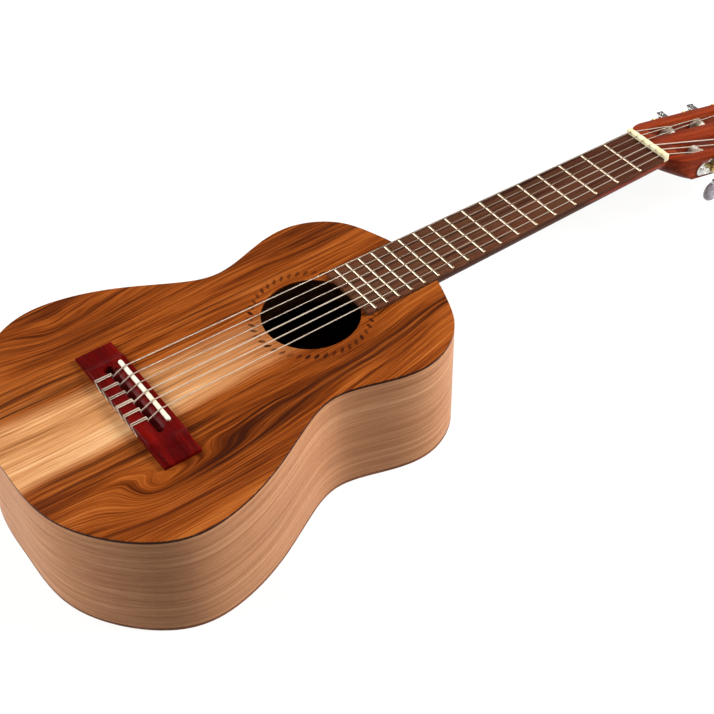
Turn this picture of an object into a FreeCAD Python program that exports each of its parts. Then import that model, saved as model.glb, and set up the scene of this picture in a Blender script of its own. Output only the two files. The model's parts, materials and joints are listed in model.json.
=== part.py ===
import FreeCAD, Part
import math
import os
import re

from FreeCAD import Placement, Rotation, Vector

# Guitalele: an octave-size nylon-string guitar, lying on its back.
# Row frame: +X along the neck towards the head, +Y to the bass side, +Z up out of the soundboard.
# The origin is under the middle of the instrument, on the surface that it lies on.
# Most pieces are drawn from the nut's string edge on the centre line, at floor height, and then
# placed along X. Pieces of the head are drawn in the head's own frame: u along its face from the
# nut, y across it and v up out of the face.

SIZES = {
    # Strings' length, and the body's outline
    "scale_length": 433,
    "body_start": 214.6,
    "body_length": 323.2,
    "body_depth": 90.5,
    "upper_bout_width": 168.6,
    "waist_width": 145.6,
    "lower_bout_width": 230.4,
    # Plates and sides
    "top_thickness": 2.4,
    "back_thickness": 2.4,
    "side_thickness": 2,
    # Sound hole and its ring
    "hole_distance": 307.6,
    "hole_diameter": 68.5,
    "ring_inner_diameter": 75,
    "ring_outer_diameter": 91,
    "ring_thickness": 1,
    # Linings, blocks and braces
    "lining_width": 5,
    "lining_height": 11,
    "neck_block_length": 30,
    "neck_block_width": 62,
    "tail_block_length": 13,
    "tail_block_width": 64,
    "cross_brace_width": 8,
    "cross_brace_height": 11,
    "cross_brace_gap": 8,
    "fan_brace_width": 5,
    "fan_brace_height": 5,
    "fan_brace_spread": 27,
    "fan_brace_splay": 7,
    "fan_brace_end_gap": 14,
    "bridge_plate_thickness": 2,
    "bridge_plate_overlap": 5,
    "back_brace_width": 8,
    "back_brace_height": 9,
    "back_strip_width": 16,
    "back_strip_thickness": 1.8,
    # Fingerboard, frets and nut
    "fret_count": 17,
    "board_thickness": 3.1,
    "board_width_nut": 41.4,
    "board_width_join": 48.2,
    "board_overhang": 7,
    "fret_crown_width": 2,
    "fret_crown_height": 0.9,
    "fret_tang_width": 0.6,
    "fret_tang_depth": 1.6,
    "fret_end_inset": 0.4,
    "fret_end_bevel": 0.6,
    "nut_width": 4.5,
    "nut_height": 6.2,
    "nut_rounding": 1,
    "nut_string_rise": 0.9,
    "string_span_nut": 34.4,
    "groove_clearance": 0.1,
    # Neck and heel
    "neck_depth_nut": 14.2,
    "neck_depth_join": 14.4,
    "neck_fullness": 2,
    "heel_fullness": 2,
    "heel_foot_height": 4,
    "heel_foot_width": 22,
    "heel_foot_length": 12,
    "heel_top_width": 38,
    "heel_length": 30,
    # Headstock
    "head_tilt": 12,
    "head_rise": 0.8,
    "head_length": 155,
    "head_width": 59,
    "head_thickness": 18.5,
    "shoulder_length": 24,
    "head_corner_radius": 13,
    "head_crest": 5,
    "rib_width": 16,
    "slot_width": 13.5,
    "slot_start": 16,
    "slot_end_gap": 14,
    # Bridge and saddle
    "saddle_distance": 437,
    "saddle_length": 65,
    "saddle_thickness": 3,
    "saddle_height": 5.2,
    "saddle_slot_depth": 3.6,
    "saddle_rounding": 1,
    "saddle_offset": -1,
    "string_span_saddle": 46.6,
    "bridge_length": 117,
    "bridge_block_length": 78,
    "bridge_height": 6.2,
    "bridge_wing_height": 2.8,
    "bridge_front_gap": 4,
    "bridge_offset": -4.4,
    "bridge_wing_ramp": 9,
    "saddle_land": 1,
    "channel_slope": 3.5,
    "channel_slope_depth": 2,
    "channel_width": 5,
    "channel_length": 68,
    "channel_floor": 2,
    "channel_bore_diameter": 7,
    "channel_bore_depth": 5,
    "channel_bore_inset": 1.2,
    "channel_bore_offset": -1,
    "tie_block_width": 10.2,
    "tie_hole_diameter": 1.9,
    "tie_hole_height": 3.6,
    "bridge_edge_radius": 0.8,
    # Strings, by number
    "string_diameter_one": 0.75,
    "string_diameter_two": 0.85,
    "string_diameter_three": 1,
    "string_diameter_four": 0.8,
    "string_diameter_five": 0.9,
    "string_diameter_six": 1.05,
    "string_clearance": 0.15,
    "knot_half_width": 1.15,
    "knot_tail": 6,
    "wrap_angle": 220,
    "nut_bend": 4,
    "knot_bend": 1,
    # Tuning machines
    "first_roller": 41.3,
    "roller_spacing": 35,
    "roller_depth": 8,
    "roller_diameter": 9.6,
    "roller_end_gap": 0.5,
    "wrap_wall_gap": 1.4,
    "wrap_clearance": 0.3,
    "turns_clearance": 0.12,
    "turns_gap": 0.5,
    "turns_count": 3,
    "turns_tail": 2,
    "spindle_diameter": 4.6,
    "spindle_seat": 4.4,
    "running_clearance": 0.06,
    "gear_teeth": 14,
    "gear_module": 0.6,
    "gear_thickness": 2.6,
    "gear_stand_off": 2.3,
    "tooth_share": 0.33,
    "flank_angle": 20,
    "tooth_tip_height": 0.5,
    "tooth_root_depth": 0.65,
    "gear_boss_diameter": 6,
    "gear_screw_diameter": 4.4,
    "gear_screw_height": 1.3,
    "worm_pitch_diameter": 5.2,
    "worm_turns": 4,
    "shaft_diameter": 2.6,
    "shaft_tip": 1.7,
    "button_gap": 6.5,
    "button_length": 14.5,
    "button_width": 15,
    "button_thickness": 8.5,
    "button_bore_depth": 9,
    "collar_diameter": 4.4,
    "collar_length": 3,
    "plate_thickness": 1,
    "plate_width": 11,
    "plate_drop": 10.75,
    "plate_before": 14.3,
    "plate_after": 20.5,
    "ear_reach": 7,
    "ear_thickness": 1.2,
    "ear_width": 7,
    "ear_bottom": 16,
    "plate_screw_inset": 4.3,
    "plate_screw_diameter": 4.8,
    "plate_screw_dome": 1.1,
    "plate_screw_shank": 2.2,
    "plate_screw_length": 7,
    "screw_slot_width": 0.7,
    "screw_slot_depth": 0.5,
    "overrun": 5,
}

# The half outline: share of the body's length, the width that the point follows, and its share
OUTLINE_SHARES = [
    (0.031, "upper_bout_width", 0.522),
    (0.073, "upper_bout_width", 0.817),
    (0.155, "upper_bout_width", 1.0),
    (0.253, "upper_bout_width", 0.983),
    (0.374, "waist_width", 1.0),
    (0.464, "waist_width", 1.117),
    (0.576, "lower_bout_width", 0.877),
    (0.703, "lower_bout_width", 0.998),
    (0.832, "lower_bout_width", 0.960),
    (0.978, "lower_bout_width", 0.512),
]
BACK_BRACE_SHARES = [0.2, 0.46, 0.74]
# The heel's levels as shares of its height. It leans out evenly for a share of its growth, and sweeps out for the rest
HEEL_SHARES = [0, 0.17, 0.34, 0.5, 0.64, 0.76, 0.86, 0.94, 1]
HEEL_LEAN_SHARE = 0.15
HEEL_SWEEP_POWER = 12
HEEL_TOP_SHARE = 0.6
# The head's shoulders: share of their length, of the growth in width and in depth, and fullness
# The last runs past the block's sides and is trimmed to them, so that the two meet flush
SHOULDER_SHARES = [(0, 0, 0, 2), (0.2, 0.42, 0.3, 2.8), (0.45, 0.8, 0.65, 4), (0.72, 0.98, 0.94, 8),
                   (1, 1.2, 1.4, 14)]
# The tuning buttons: share of their length, width share and thickness share
BUTTON_SHARES = [(0, 0.4, 0.62), (0.12, 0.72, 0.86), (0.35, 0.97, 1), (0.62, 1, 1), (0.86, 0.8, 0.84),
                 (1, 0.42, 0.5)]
SCOOP_SHARE = 0.33
TAIL_DROP_SHARE = 0.72
OUTLINE_SAMPLES = 48
SECTION_SAMPLES = 14

document = FreeCAD.newDocument("Guitalele")
sheet = document.addObject("Spreadsheet::Sheet", "Sizes")
for row, (alias, number) in enumerate(SIZES.items(), 1):
    sheet.set("A" + str(row), alias)
    sheet.set("B" + str(row), str(number))
    sheet.setAlias("B" + str(row), alias)
document.recompute()


class SheetValues:
    """The sheet's values, read by name."""

    def __getattr__(self, alias):
        return float(sheet.get(alias))


S = SheetValues()
NODES = []


def bind(item, prop, formula):
    """Tie a property to a formula of the sheet's names."""
    words = re.sub(r"[a-z_]+", lambda m: "Sizes." + m.group() if m.group() in SIZES else m.group(), formula)
    item.setExpression(prop, words)


def keep(item, label):
    """Name an object as a node of the part."""
    item.Label = label
    NODES.append(item)
    return item


def feature(label, shape):
    """A node whose shape is worked out here and then placed along the row's X axis."""
    item = document.addObject("Part::Feature", label)
    item.Shape = shape
    item.Placement = Placement(Vector(nut_place(), 0, 0), Rotation()).multiply(shape.Placement)
    return keep(item, label)


# Places along the centre line, from the nut's string edge

def head_reach():
    tilt = math.radians(S.head_tilt)
    return S.nut_width + S.head_length * math.cos(tilt)


def tail_reach():
    return S.body_start + S.body_length


def nut_place():
    """The nut's X in the row frame, which has its origin midway along the instrument."""
    return (tail_reach() - head_reach()) / 2


def fret_place(number):
    return -S.scale_length * (1 - 2 ** (-number / 12))


def board_end():
    return fret_place(S.fret_count) - S.board_overhang


def board_half_width(place):
    """Half the fingerboard's width at a distance down from the nut."""
    growth = (S.board_width_join - S.board_width_nut) / (2 * S.body_start)
    return S.board_width_nut / 2 - place * growth


def crown_height():
    """Height of the frets' crowns over the floor."""
    return S.body_depth + S.board_thickness + S.fret_crown_height


def head_face():
    return S.body_depth + S.head_rise


def head_point(u, y, v):
    tilt = math.radians(S.head_tilt)
    along = S.nut_width + u * math.cos(tilt) + v * math.sin(tilt)
    return Vector(along, y, head_face() - u * math.sin(tilt) + v * math.cos(tilt))


def head_placement():
    return Placement(head_point(0, 0, 0), Rotation(Vector(0, 1, 0), S.head_tilt))


# Outline of the body

def closed_half(points):
    """The smooth curve through points, led by their mirror images at both ends and cut back to the points."""
    mirrored = [Vector(point.x, -point.y, 0) for point in points[-2:0:-1]]
    run = mirrored + points + mirrored
    stations = [0]
    for before, after in zip(run, run[1:]):
        stations.append(stations[-1] + math.sqrt(before.distanceToPoint(after)))
    curve = Part.BSplineCurve()
    curve.interpolate(Points=run, Parameters=stations)
    curve.segment(stations[len(mirrored)], stations[len(mirrored) + len(points) - 1])
    return curve


def half_outline(side, inset=0):
    """Half of the body's outline, from the neck to the tail, moved inwards by an inset."""
    points = [Vector(-S.body_start, 0, 0)]
    for station, width, share in OUTLINE_SHARES:
        half = float(sheet.get(width)) / 2
        points.append(Vector(-S.body_start - station * S.body_length, side * share * half, 0))
    points.append(Vector(-tail_reach(), 0, 0))
    curve = closed_half(points)
    if not inset:
        return curve
    moved = [Vector(-S.body_start - inset, 0, 0)]
    for step in range(1, OUTLINE_SAMPLES):
        place = curve.FirstParameter + (curve.LastParameter - curve.FirstParameter) * step / OUTLINE_SAMPLES
        square = curve.tangent(place)[0].cross(Vector(0, 0, side))
        moved.append(curve.value(place) - square * inset)
    moved.append(Vector(-tail_reach() + inset, 0, 0))
    return closed_half(moved)


def outline_prism(inset, low, high):
    """The body's outline, moved inwards, as a solid between two heights."""
    bass = half_outline(1, inset).toShape()
    treble = half_outline(-1, inset).toShape()
    face = Part.Face(Part.Wire([bass, treble]))
    face.translate(Vector(0, 0, low))
    return face.extrude(Vector(0, 0, high - low))


# Helpers for bodies made of sketches

def new_body(label):
    body = document.addObject("PartDesign::Body", label)
    bind(body, "Placement.Base.x", "(body_start + body_length - nut_width - head_length * cos(head_tilt * 1deg)) / 2")
    return keep(body, label)


def new_sketch(body, name, role, curves, offset=None):
    """A sketch on one of the body's own planes, moved off it by a bound offset."""
    sketch = body.newObject("Sketcher::SketchObject", name)
    plane = [item for item in body.Origin.OriginFeatures if item.Role == role][0]
    sketch.AttachmentSupport = [(plane, "")]
    sketch.MapMode = "FlatFace"
    if offset:
        bind(sketch, "AttachmentOffset.Base.z", offset)
    for curve in curves:
        sketch.addGeometry(curve, False)
    return sketch


def bind_circle(sketch, index, name, formula):
    """Give a circle of the sketch a named diameter that follows the sheet."""
    import Sketcher
    number = sketch.addConstraint(Sketcher.Constraint("Diameter", index, 2 * sketch.Geometry[index].Radius))
    sketch.renameConstraint(number, name)
    bind(sketch, "Constraints." + name, formula)


def new_pad(body, sketch, name, length, midplane=False):
    pad = body.newObject("PartDesign::Pad", name)
    pad.Profile = sketch
    bind(pad, "Length", length)
    if midplane:
        pad.SideType = "Symmetric"
    document.recompute()
    return pad


def new_pocket(body, sketch, name, depth=None, through=False, symmetric=False):
    """Cut a sketch out of the body and make sure that it took something away."""
    before = body.Shape.Volume
    pocket = body.newObject("PartDesign::Pocket", name)
    pocket.Profile = sketch
    if through:
        pocket.Type = "ThroughAll"
    else:
        bind(pocket, "Length", depth)
    if symmetric:
        pocket.SideType = "Symmetric"
    document.recompute()
    if not body.Shape.Volume < before:
        raise RuntimeError(name + " cuts nothing")
    return pocket


def polygon(points):
    """Closed straight-sided outline for a sketch."""
    return [Part.LineSegment(a, b) for a, b in zip(points, points[1:] + points[:1])]


def rounded_slot(x_low, x_high, y_low, y_high):
    """Outline of a slot that runs along Y and has half-round ends."""
    radius = (x_high - x_low) / 2
    middle = (x_high + x_low) / 2
    low, high = y_low + radius, y_high - radius
    far = Part.Arc(Vector(x_high, high, 0), Vector(middle, y_high, 0), Vector(x_low, high, 0))
    near = Part.Arc(Vector(x_low, low, 0), Vector(middle, y_low, 0), Vector(x_high, low, 0))
    left = Part.LineSegment(Vector(x_low, high, 0), Vector(x_low, low, 0))
    right = Part.LineSegment(Vector(x_high, low, 0), Vector(x_high, high, 0))
    return [right, far, left, near]


def circle(x, y, radius):
    return Part.Circle(Vector(x, y, 0), Vector(0, 0, 1), radius)


# The body's shell

def build_soundboard():
    body = new_body("soundboard")
    bind(body, "Placement.Base.z", "body_depth - top_thickness")
    sketch = new_sketch(body, "top_outline", "XY_Plane", [half_outline(1), half_outline(-1)])
    new_pad(body, sketch, "top_plate", "top_thickness")
    hole = new_sketch(body, "hole_outline", "XY_Plane", [circle(-S.hole_distance, 0, S.hole_diameter / 2)],
                      "top_thickness")
    bind_circle(hole, 0, "hole", "hole_diameter")
    new_pocket(body, hole, "sound_hole", through=True)
    rings = [circle(-S.hole_distance, 0, S.ring_outer_diameter / 2),
             circle(-S.hole_distance, 0, S.ring_inner_diameter / 2)]
    groove = new_sketch(body, "groove_outline", "XY_Plane", rings, "top_thickness")
    bind_circle(groove, 0, "outer", "ring_outer_diameter")
    bind_circle(groove, 1, "inner", "ring_inner_diameter")
    new_pocket(body, groove, "ring_groove", depth="ring_thickness")


def build_rosette():
    body = new_body("rosette")
    bind(body, "Placement.Base.z", "body_depth - ring_thickness")
    rings = [circle(-S.hole_distance, 0, S.ring_outer_diameter / 2),
             circle(-S.hole_distance, 0, S.ring_inner_diameter / 2)]
    sketch = new_sketch(body, "ring_outline", "XY_Plane", rings)
    bind_circle(sketch, 0, "outer", "ring_outer_diameter")
    bind_circle(sketch, 1, "inner", "ring_inner_diameter")
    new_pad(body, sketch, "ring", "ring_thickness")


def build_back():
    body = new_body("back")
    sketch = new_sketch(body, "back_outline", "XY_Plane", [half_outline(1), half_outline(-1)])
    new_pad(body, sketch, "back_plate", "back_thickness")


def build_side(label, side):
    body = new_body(label)
    bind(body, "Placement.Base.z", "back_thickness")
    outer = half_outline(side)
    inner = half_outline(side, S.side_thickness)
    front = Part.LineSegment(outer.StartPoint, inner.StartPoint)
    tail = Part.LineSegment(outer.EndPoint, inner.EndPoint)
    sketch = new_sketch(body, label + "_outline", "XY_Plane", [outer, front, inner, tail])
    new_pad(body, sketch, label + "_wall", "body_depth - top_thickness - back_thickness")


# Inside the body

def inner_height():
    return S.body_depth - S.top_thickness


def block_prism(front, length, width):
    """A block's footprint between the plates, before the sides trim it."""
    block = Part.makeBox(length, width, inner_height() - S.back_thickness)
    block.translate(Vector(front, -width / 2, S.back_thickness))
    return block


def neck_block_space():
    front = -S.body_start - S.side_thickness - S.neck_block_length
    return block_prism(front, S.neck_block_length + S.overrun, S.neck_block_width)


def tail_block_space():
    front = -tail_reach() + S.side_thickness - S.overrun
    return block_prism(front, S.tail_block_length + S.overrun, S.tail_block_width)


def build_blocks():
    inside = outline_prism(S.side_thickness, S.back_thickness, inner_height())
    feature("neck_block", neck_block_space().common(inside))
    feature("tail_block", tail_block_space().common(inside))


def lining_ring(low, high):
    outer = outline_prism(S.side_thickness, low, high)
    inner = outline_prism(S.side_thickness + S.lining_width, low, high)
    return outer.cut([inner, neck_block_space(), tail_block_space()])


def build_linings():
    """Each ring of lining is cut by the two blocks into a bass and a treble strip."""
    top = inner_height()
    feature("top_linings", Part.makeCompound(lining_ring(top - S.lining_height, top).Solids))
    low = S.back_thickness
    feature("back_linings", Part.makeCompound(lining_ring(low, low + S.lining_height).Solids))


def between_linings(shape, low, high):
    return shape.common(outline_prism(S.side_thickness + S.lining_width, low, high))


def rounded_bar(length, width, height):
    """A brace along X, flat below, with its upper edges cut back."""
    half = width / 2
    bevel = min(width, height) / 3
    points = [Vector(0, -half, 0), Vector(0, half, 0), Vector(0, half, height - bevel),
              Vector(0, half - bevel, height), Vector(0, bevel - half, height), Vector(0, -half, height - bevel)]
    return Part.Face(Part.makePolygon(points + points[:1])).extrude(Vector(length, 0, 0))


def cross_bar(middle, width, height, down):
    """A brace across the body, standing on the back or hanging from the soundboard."""
    bar = rounded_bar(S.lower_bout_width, width, height)
    if down:
        bar = bar.mirror(Vector(0, 0, 0), Vector(0, 0, 1))
    bar.rotate(Vector(0, 0, 0), Vector(0, 0, 1), 90)
    bar.translate(Vector(middle, -S.lower_bout_width / 2, 0))
    return bar


def cross_brace_places():
    """The braces lie a gap beyond the hole, and the front one behind the neck block."""
    reach = S.ring_outer_diameter / 2 + S.cross_brace_gap + S.cross_brace_width / 2
    return [-S.hole_distance + reach, -S.hole_distance - reach]


def build_cross_braces():
    top = inner_height()
    bars = []
    for place in cross_brace_places():
        bar = cross_bar(place, S.cross_brace_width, S.cross_brace_height, True)
        bar.translate(Vector(0, 0, top))
        bar = bar.cut(neck_block_space())
        bars.append(between_linings(bar, 0, top))
    feature("cross_braces", Part.makeCompound([solid for bar in bars for solid in bar.Solids]))


def bridge_front():
    return -S.saddle_distance + S.saddle_thickness / 2 + S.bridge_front_gap


def bridge_width():
    land = S.bridge_front_gap + S.saddle_thickness + S.saddle_land
    return land + S.channel_slope + S.channel_width + S.tie_block_width


def bridge_plate_solid():
    margin = S.bridge_plate_overlap
    width = bridge_width() + 2 * margin
    plate = Part.makeBox(width, S.bridge_length, S.bridge_plate_thickness)
    plate.translate(Vector(bridge_front() + margin - width, S.bridge_offset - S.bridge_length / 2,
                           inner_height() - S.bridge_plate_thickness))
    return plate


def build_fan_braces():
    """Three braces fan out from the lower cross brace and are notched over the bridge plate."""
    top = inner_height()
    front = cross_brace_places()[1] - S.cross_brace_width / 2
    length = front + tail_reach() - S.side_thickness - S.tail_block_length - S.fan_brace_end_gap
    braces = []
    for number in (-1, 0, 1):
        bar = rounded_bar(length, S.fan_brace_width, S.fan_brace_height)
        bar = bar.mirror(Vector(0, 0, 0), Vector(0, 0, 1))
        bar.translate(Vector(-length, 0, top))
        bar.rotate(Vector(0, 0, 0), Vector(0, 0, 1), -number * S.fan_brace_splay)
        bar.translate(Vector(front, number * S.fan_brace_spread, 0))
        cross = cross_bar(cross_brace_places()[1], S.cross_brace_width, S.cross_brace_height, True)
        cross.translate(Vector(0, 0, top))
        braces.append(bar.cut([bridge_plate_solid(), cross]))
    feature("fan_braces", Part.makeCompound([solid for brace in braces for solid in brace.Solids]))
    feature("bridge_plate", bridge_plate_solid())


def back_brace_bars():
    bars = []
    for share in BACK_BRACE_SHARES:
        place = -S.body_start - share * S.body_length
        bar = cross_bar(place, S.back_brace_width, S.back_brace_height, False)
        bar.translate(Vector(0, 0, S.back_thickness))
        bars.append(between_linings(bar, 0, S.body_depth))
    return bars


def build_back_bracing():
    bars = back_brace_bars()
    feature("back_braces", Part.makeCompound([solid for bar in bars for solid in bar.Solids]))
    strip = Part.makeBox(S.body_length, S.back_strip_width, S.back_strip_thickness)
    strip.translate(Vector(-tail_reach(), -S.back_strip_width / 2, S.back_thickness))
    strip = between_linings(strip, 0, S.body_depth)
    strip = strip.cut(bars + [neck_block_space(), tail_block_space()])
    feature("back_strip", Part.makeCompound(strip.Solids))


# Neck, heel and headstock

def section(width, depth, fullness, place):
    """A neck section: flat on top, and rounded below by a superellipse of the given fullness."""
    points = []
    for step in range(SECTION_SAMPLES + 1):
        angle = math.pi * step / SECTION_SAMPLES
        across, down = math.cos(angle), abs(math.sin(angle))
        reach = (abs(across) ** fullness + down ** fullness) ** (-1 / fullness)
        points.append(Vector(0, reach * across * width / 2, -reach * down * depth))
    lower = Part.BSplineCurve()
    lower.interpolate(points)
    wire = Part.Wire([lower.toShape(), Part.LineSegment(points[-1], points[0]).toShape()])
    wire.Placement = place
    return wire


def upright(x, z):
    return Placement(Vector(x, 0, z), Rotation())


def neck_shaft():
    """The shaft tapers from the nut to the body and runs into it, to be cut back to the outline."""
    top = S.body_depth
    end = -S.body_start - S.overrun
    first = section(S.board_width_nut, S.neck_depth_nut, S.neck_fullness, upright(S.nut_width, top))
    last = section(2 * board_half_width(end), S.neck_depth_join, S.neck_fullness, upright(end, top))
    return Part.makeLoft([first, last], True, True)


def heel():
    """Level sections from the foot up to the shaft, each a rounded nose against the body."""
    high = S.body_depth - HEEL_TOP_SHARE * S.neck_depth_join
    turn = Rotation(Vector(0, 1, 0), 90)
    start = -S.body_start - S.overrun
    wires = []
    for share in HEEL_SHARES:
        growth = HEEL_LEAN_SHARE * share + (1 - HEEL_LEAN_SHARE) * share ** HEEL_SWEEP_POWER
        width = S.heel_foot_width + growth * (S.heel_top_width - S.heel_foot_width)
        length = S.heel_foot_length + growth * (S.heel_length - S.heel_foot_length)
        height = S.heel_foot_height + share * (high - S.heel_foot_height)
        place = Placement(Vector(start, 0, height), turn.inverted())
        wires.append(section(width, length + S.overrun, S.heel_fullness, place))
    return Part.makeLoft(wires, True, False)


def neck_whole():
    body = outline_prism(0, -S.overrun, S.body_depth + S.overrun)
    whole = neck_shaft().fuse(heel()).cut(body)
    return whole.removeSplitter()


def head_outline():
    """The head's face beyond the shoulders: straight sides, round corners and a low crest."""
    half = S.head_width / 2
    start = S.shoulder_length
    corner = S.head_corner_radius
    end = S.head_length - S.head_crest
    turn = corner * math.sqrt(0.5)
    low, high = end - corner, half - corner
    edges = [
        Part.LineSegment(Vector(start, -half, 0), Vector(low, -half, 0)),
        Part.Arc(Vector(low, -half, 0), Vector(low + turn, -high - turn, 0), Vector(end, -high, 0)),
        Part.Arc(Vector(end, -high, 0), Vector(S.head_length, 0, 0), Vector(end, high, 0)),
        Part.Arc(Vector(end, high, 0), Vector(low + turn, high + turn, 0), Vector(low, half, 0)),
        Part.LineSegment(Vector(low, half, 0), Vector(start, half, 0)),
        Part.LineSegment(Vector(start, half, 0), Vector(start, -half, 0)),
    ]
    return Part.Wire([edge.toShape() for edge in edges])


def head_block():
    """The head in its own frame, with a loft for the shoulders that carve down to the neck."""
    block = Part.Face(head_outline()).extrude(Vector(0, 0, -S.head_thickness))
    flush = (S.neck_depth_nut + S.head_rise) / math.cos(math.radians(S.head_tilt))
    wires = []
    for share, wide, deep, fullness in SHOULDER_SHARES:
        width = S.board_width_nut + wide * (S.head_width - S.board_width_nut)
        depth = flush + deep * (S.head_thickness - flush)
        place = Placement(Vector(share * S.shoulder_length, 0, 0), Rotation())
        wires.append(section(width, depth, fullness, place))
    room = Part.makeBox(S.shoulder_length, S.head_width, S.head_thickness)
    room.translate(Vector(0, -S.head_width / 2, -S.head_thickness))
    shoulders = Part.makeLoft(wires, True, False).common(room)
    return block.fuse(shoulders).removeSplitter()


def roller_places():
    return [S.first_roller + number * S.roller_spacing for number in range(3)]


def slot_walls():
    """Distances from the centre line of a slot's inner and outer wall."""
    inner = S.rib_width / 2
    return inner, inner + S.slot_width


def head_slot(side):
    inner, outer = slot_walls()
    start, end = S.slot_start, roller_places()[-1] + S.slot_end_gap
    radius = S.slot_width / 2
    middle = (inner + outer) / 2
    low, high = start + radius, end - radius
    points = [Vector(low, inner, 0), Vector(high, inner, 0), Vector(end, middle, 0),
              Vector(high, outer, 0), Vector(low, outer, 0), Vector(start, middle, 0)]
    edges = [Part.LineSegment(points[0], points[1]), Part.Arc(points[1], points[2], points[3]),
             Part.LineSegment(points[3], points[4]), Part.Arc(points[4], points[5], points[0])]
    face = Part.Face(Part.Wire([edge.toShape() for edge in edges]))
    face.translate(Vector(0, 0, S.overrun))
    tool = face.extrude(Vector(0, 0, -S.head_thickness - 2 * S.overrun))
    return tool if side > 0 else tool.mirror(Vector(0, 0, 0), Vector(0, 1, 0))


def across(radius, u, v, y_low, y_high, side):
    """A cylinder across the head, between two distances from the centre line."""
    return Part.makeCylinder(radius, y_high - y_low, Vector(u, side * y_low, v), Vector(0, side, 0))


def roller_bores(side):
    """Bores for the rollers in the outer wall, and blind seats for the spindles in the rib."""
    inner, outer = slot_walls()
    tools = []
    for u in roller_places():
        wide = S.roller_diameter / 2 + S.running_clearance
        seat = S.spindle_diameter / 2 + S.running_clearance
        tools.append(across(wide, u, -S.roller_depth, outer - S.overrun, S.head_width / 2 + S.overrun, side))
        tools.append(across(seat, u, -S.roller_depth, inner - S.spindle_seat, inner + S.overrun, side))
    return tools


def plate_screw_places():
    """One screw at each end of the plate, and one between each worm and the next gear."""
    rollers = roller_places()
    first = rollers[0] - S.plate_before + S.plate_screw_inset
    last = rollers[-1] + S.plate_after - S.plate_screw_inset
    offset = (centre_distance() + S.roller_spacing) / 2
    return [first] + [u + offset for u in rollers[:-1]] + [last]


def shank_bores(side):
    radius = S.plate_screw_shank / 2 + S.running_clearance
    low = S.head_width / 2 - S.plate_screw_length - S.running_clearance
    return [across(radius, u, -S.plate_drop, low, S.head_width / 2 + S.overrun, side) for u in plate_screw_places()]


def scarf_space():
    """Everything above the plane of the head's back, which is the glue line of the scarf joint."""
    size = 2 * (S.head_length + S.body_length)
    space = Part.makeBox(size, size, size)
    space.translate(Vector(-size / 2, -size / 2, -S.head_thickness))
    space.Placement = head_placement().multiply(space.Placement)
    return space


def build_neck():
    neck = neck_whole()
    wedge = neck.common(scarf_space())
    feature("neck", neck.cut(scarf_space()))
    block = head_block()
    tools = []
    for side in (1, -1):
        tools += [head_slot(side)] + roller_bores(side) + shank_bores(side)
    head = block.cut(tools)
    head.Placement = head_placement()
    nut_space = Part.makeBox(S.nut_width, S.head_width, S.nut_height)
    nut_space.translate(Vector(0, -S.head_width / 2, S.body_depth))
    head = head.cut(nut_space).fuse(wedge).removeSplitter()
    feature("headstock", head)


# Fingerboard, frets and nut

def build_fingerboard():
    body = new_body("fingerboard")
    bind(body, "Placement.Base.z", "body_depth")
    end = board_end()
    corners = [Vector(0, -board_half_width(0), 0), Vector(0, board_half_width(0), 0),
               Vector(end, board_half_width(end), 0), Vector(end, -board_half_width(end), 0)]
    sketch = new_sketch(body, "board_outline", "XY_Plane", polygon(corners))
    new_pad(body, sketch, "board", "board_thickness")
    half = S.fret_tang_width / 2
    lines = []
    for number in range(1, int(S.fret_count) + 1):
        place = fret_place(number)
        width = board_half_width(place) + S.overrun
        lines += polygon([Vector(place - half, -width, 0), Vector(place + half, -width, 0),
                          Vector(place + half, width, 0), Vector(place - half, width, 0)])
    slots = new_sketch(body, "fret_slots", "XY_Plane", lines, "board_thickness")
    new_pocket(body, slots, "slots", depth="fret_tang_depth")


def fret(number):
    """A round crown over a thin tang, with the crown's ends bevelled."""
    place = fret_place(number)
    top = S.body_depth + S.board_thickness
    half, tang = S.fret_crown_width / 2, S.fret_tang_width / 2
    width = board_half_width(place) - S.fret_end_inset
    left, right = Vector(place - half, -width, top), Vector(place + half, -width, top)
    crest = Vector(place, -width, top + S.fret_crown_height)
    crown = Part.Wire([Part.Arc(left, crest, right).toShape(), Part.LineSegment(right, left).toShape()])
    bar = Part.Face(crown).extrude(Vector(0, 2 * width, 0))
    foot = Part.makeBox(2 * tang, 2 * width, S.fret_tang_depth)
    foot.translate(Vector(place - tang, -width, top - S.fret_tang_depth))
    solid = bar.fuse(foot)
    for side in (1, -1):
        bevel = Part.makeBox(4 * half, S.overrun, S.overrun)
        bevel.translate(Vector(-2 * half, 0, 0))
        bevel.rotate(Vector(0, 0, 0), Vector(1, 0, 0), math.degrees(math.pi / 4))
        bevel.translate(Vector(place, side * width, top + S.fret_crown_height - S.fret_end_bevel))
        solid = solid.cut(bevel)
    return solid.removeSplitter()


def build_frets():
    feature("frets", Part.makeCompound([fret(number) for number in range(1, int(S.fret_count) + 1)]))


# Strings

def string_shares():
    """Where strings one to six lie across the span: one is on the treble side."""
    return [number / 5 - 0.5 for number in range(6)]


def string_diameter(index):
    names = ["one", "two", "three", "four", "five", "six"]
    return float(sheet.get("string_diameter_" + names[index]))


def string_side(index):
    return 1 if index > 2 else -1


def string_roller(index):
    """Outer strings go to the rollers nearest the nut, middle strings to the farthest."""
    return index if index < 3 else 5 - index


def nut_point(index):
    """The string's centre where it bends over the nut's front edge."""
    height = crown_height() + S.nut_string_rise + string_diameter(index) / 2 + S.groove_clearance
    return Vector(0, string_shares()[index] * S.string_span_nut, height)


def wrap_place(index):
    """Distance from the centre line of a string's first turn, close to the slot's outer wall."""
    return slot_walls()[1] - S.wrap_wall_gap


def wrap_radius(index):
    return (S.roller_diameter + string_diameter(index)) / 2 + S.wrap_clearance


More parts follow.
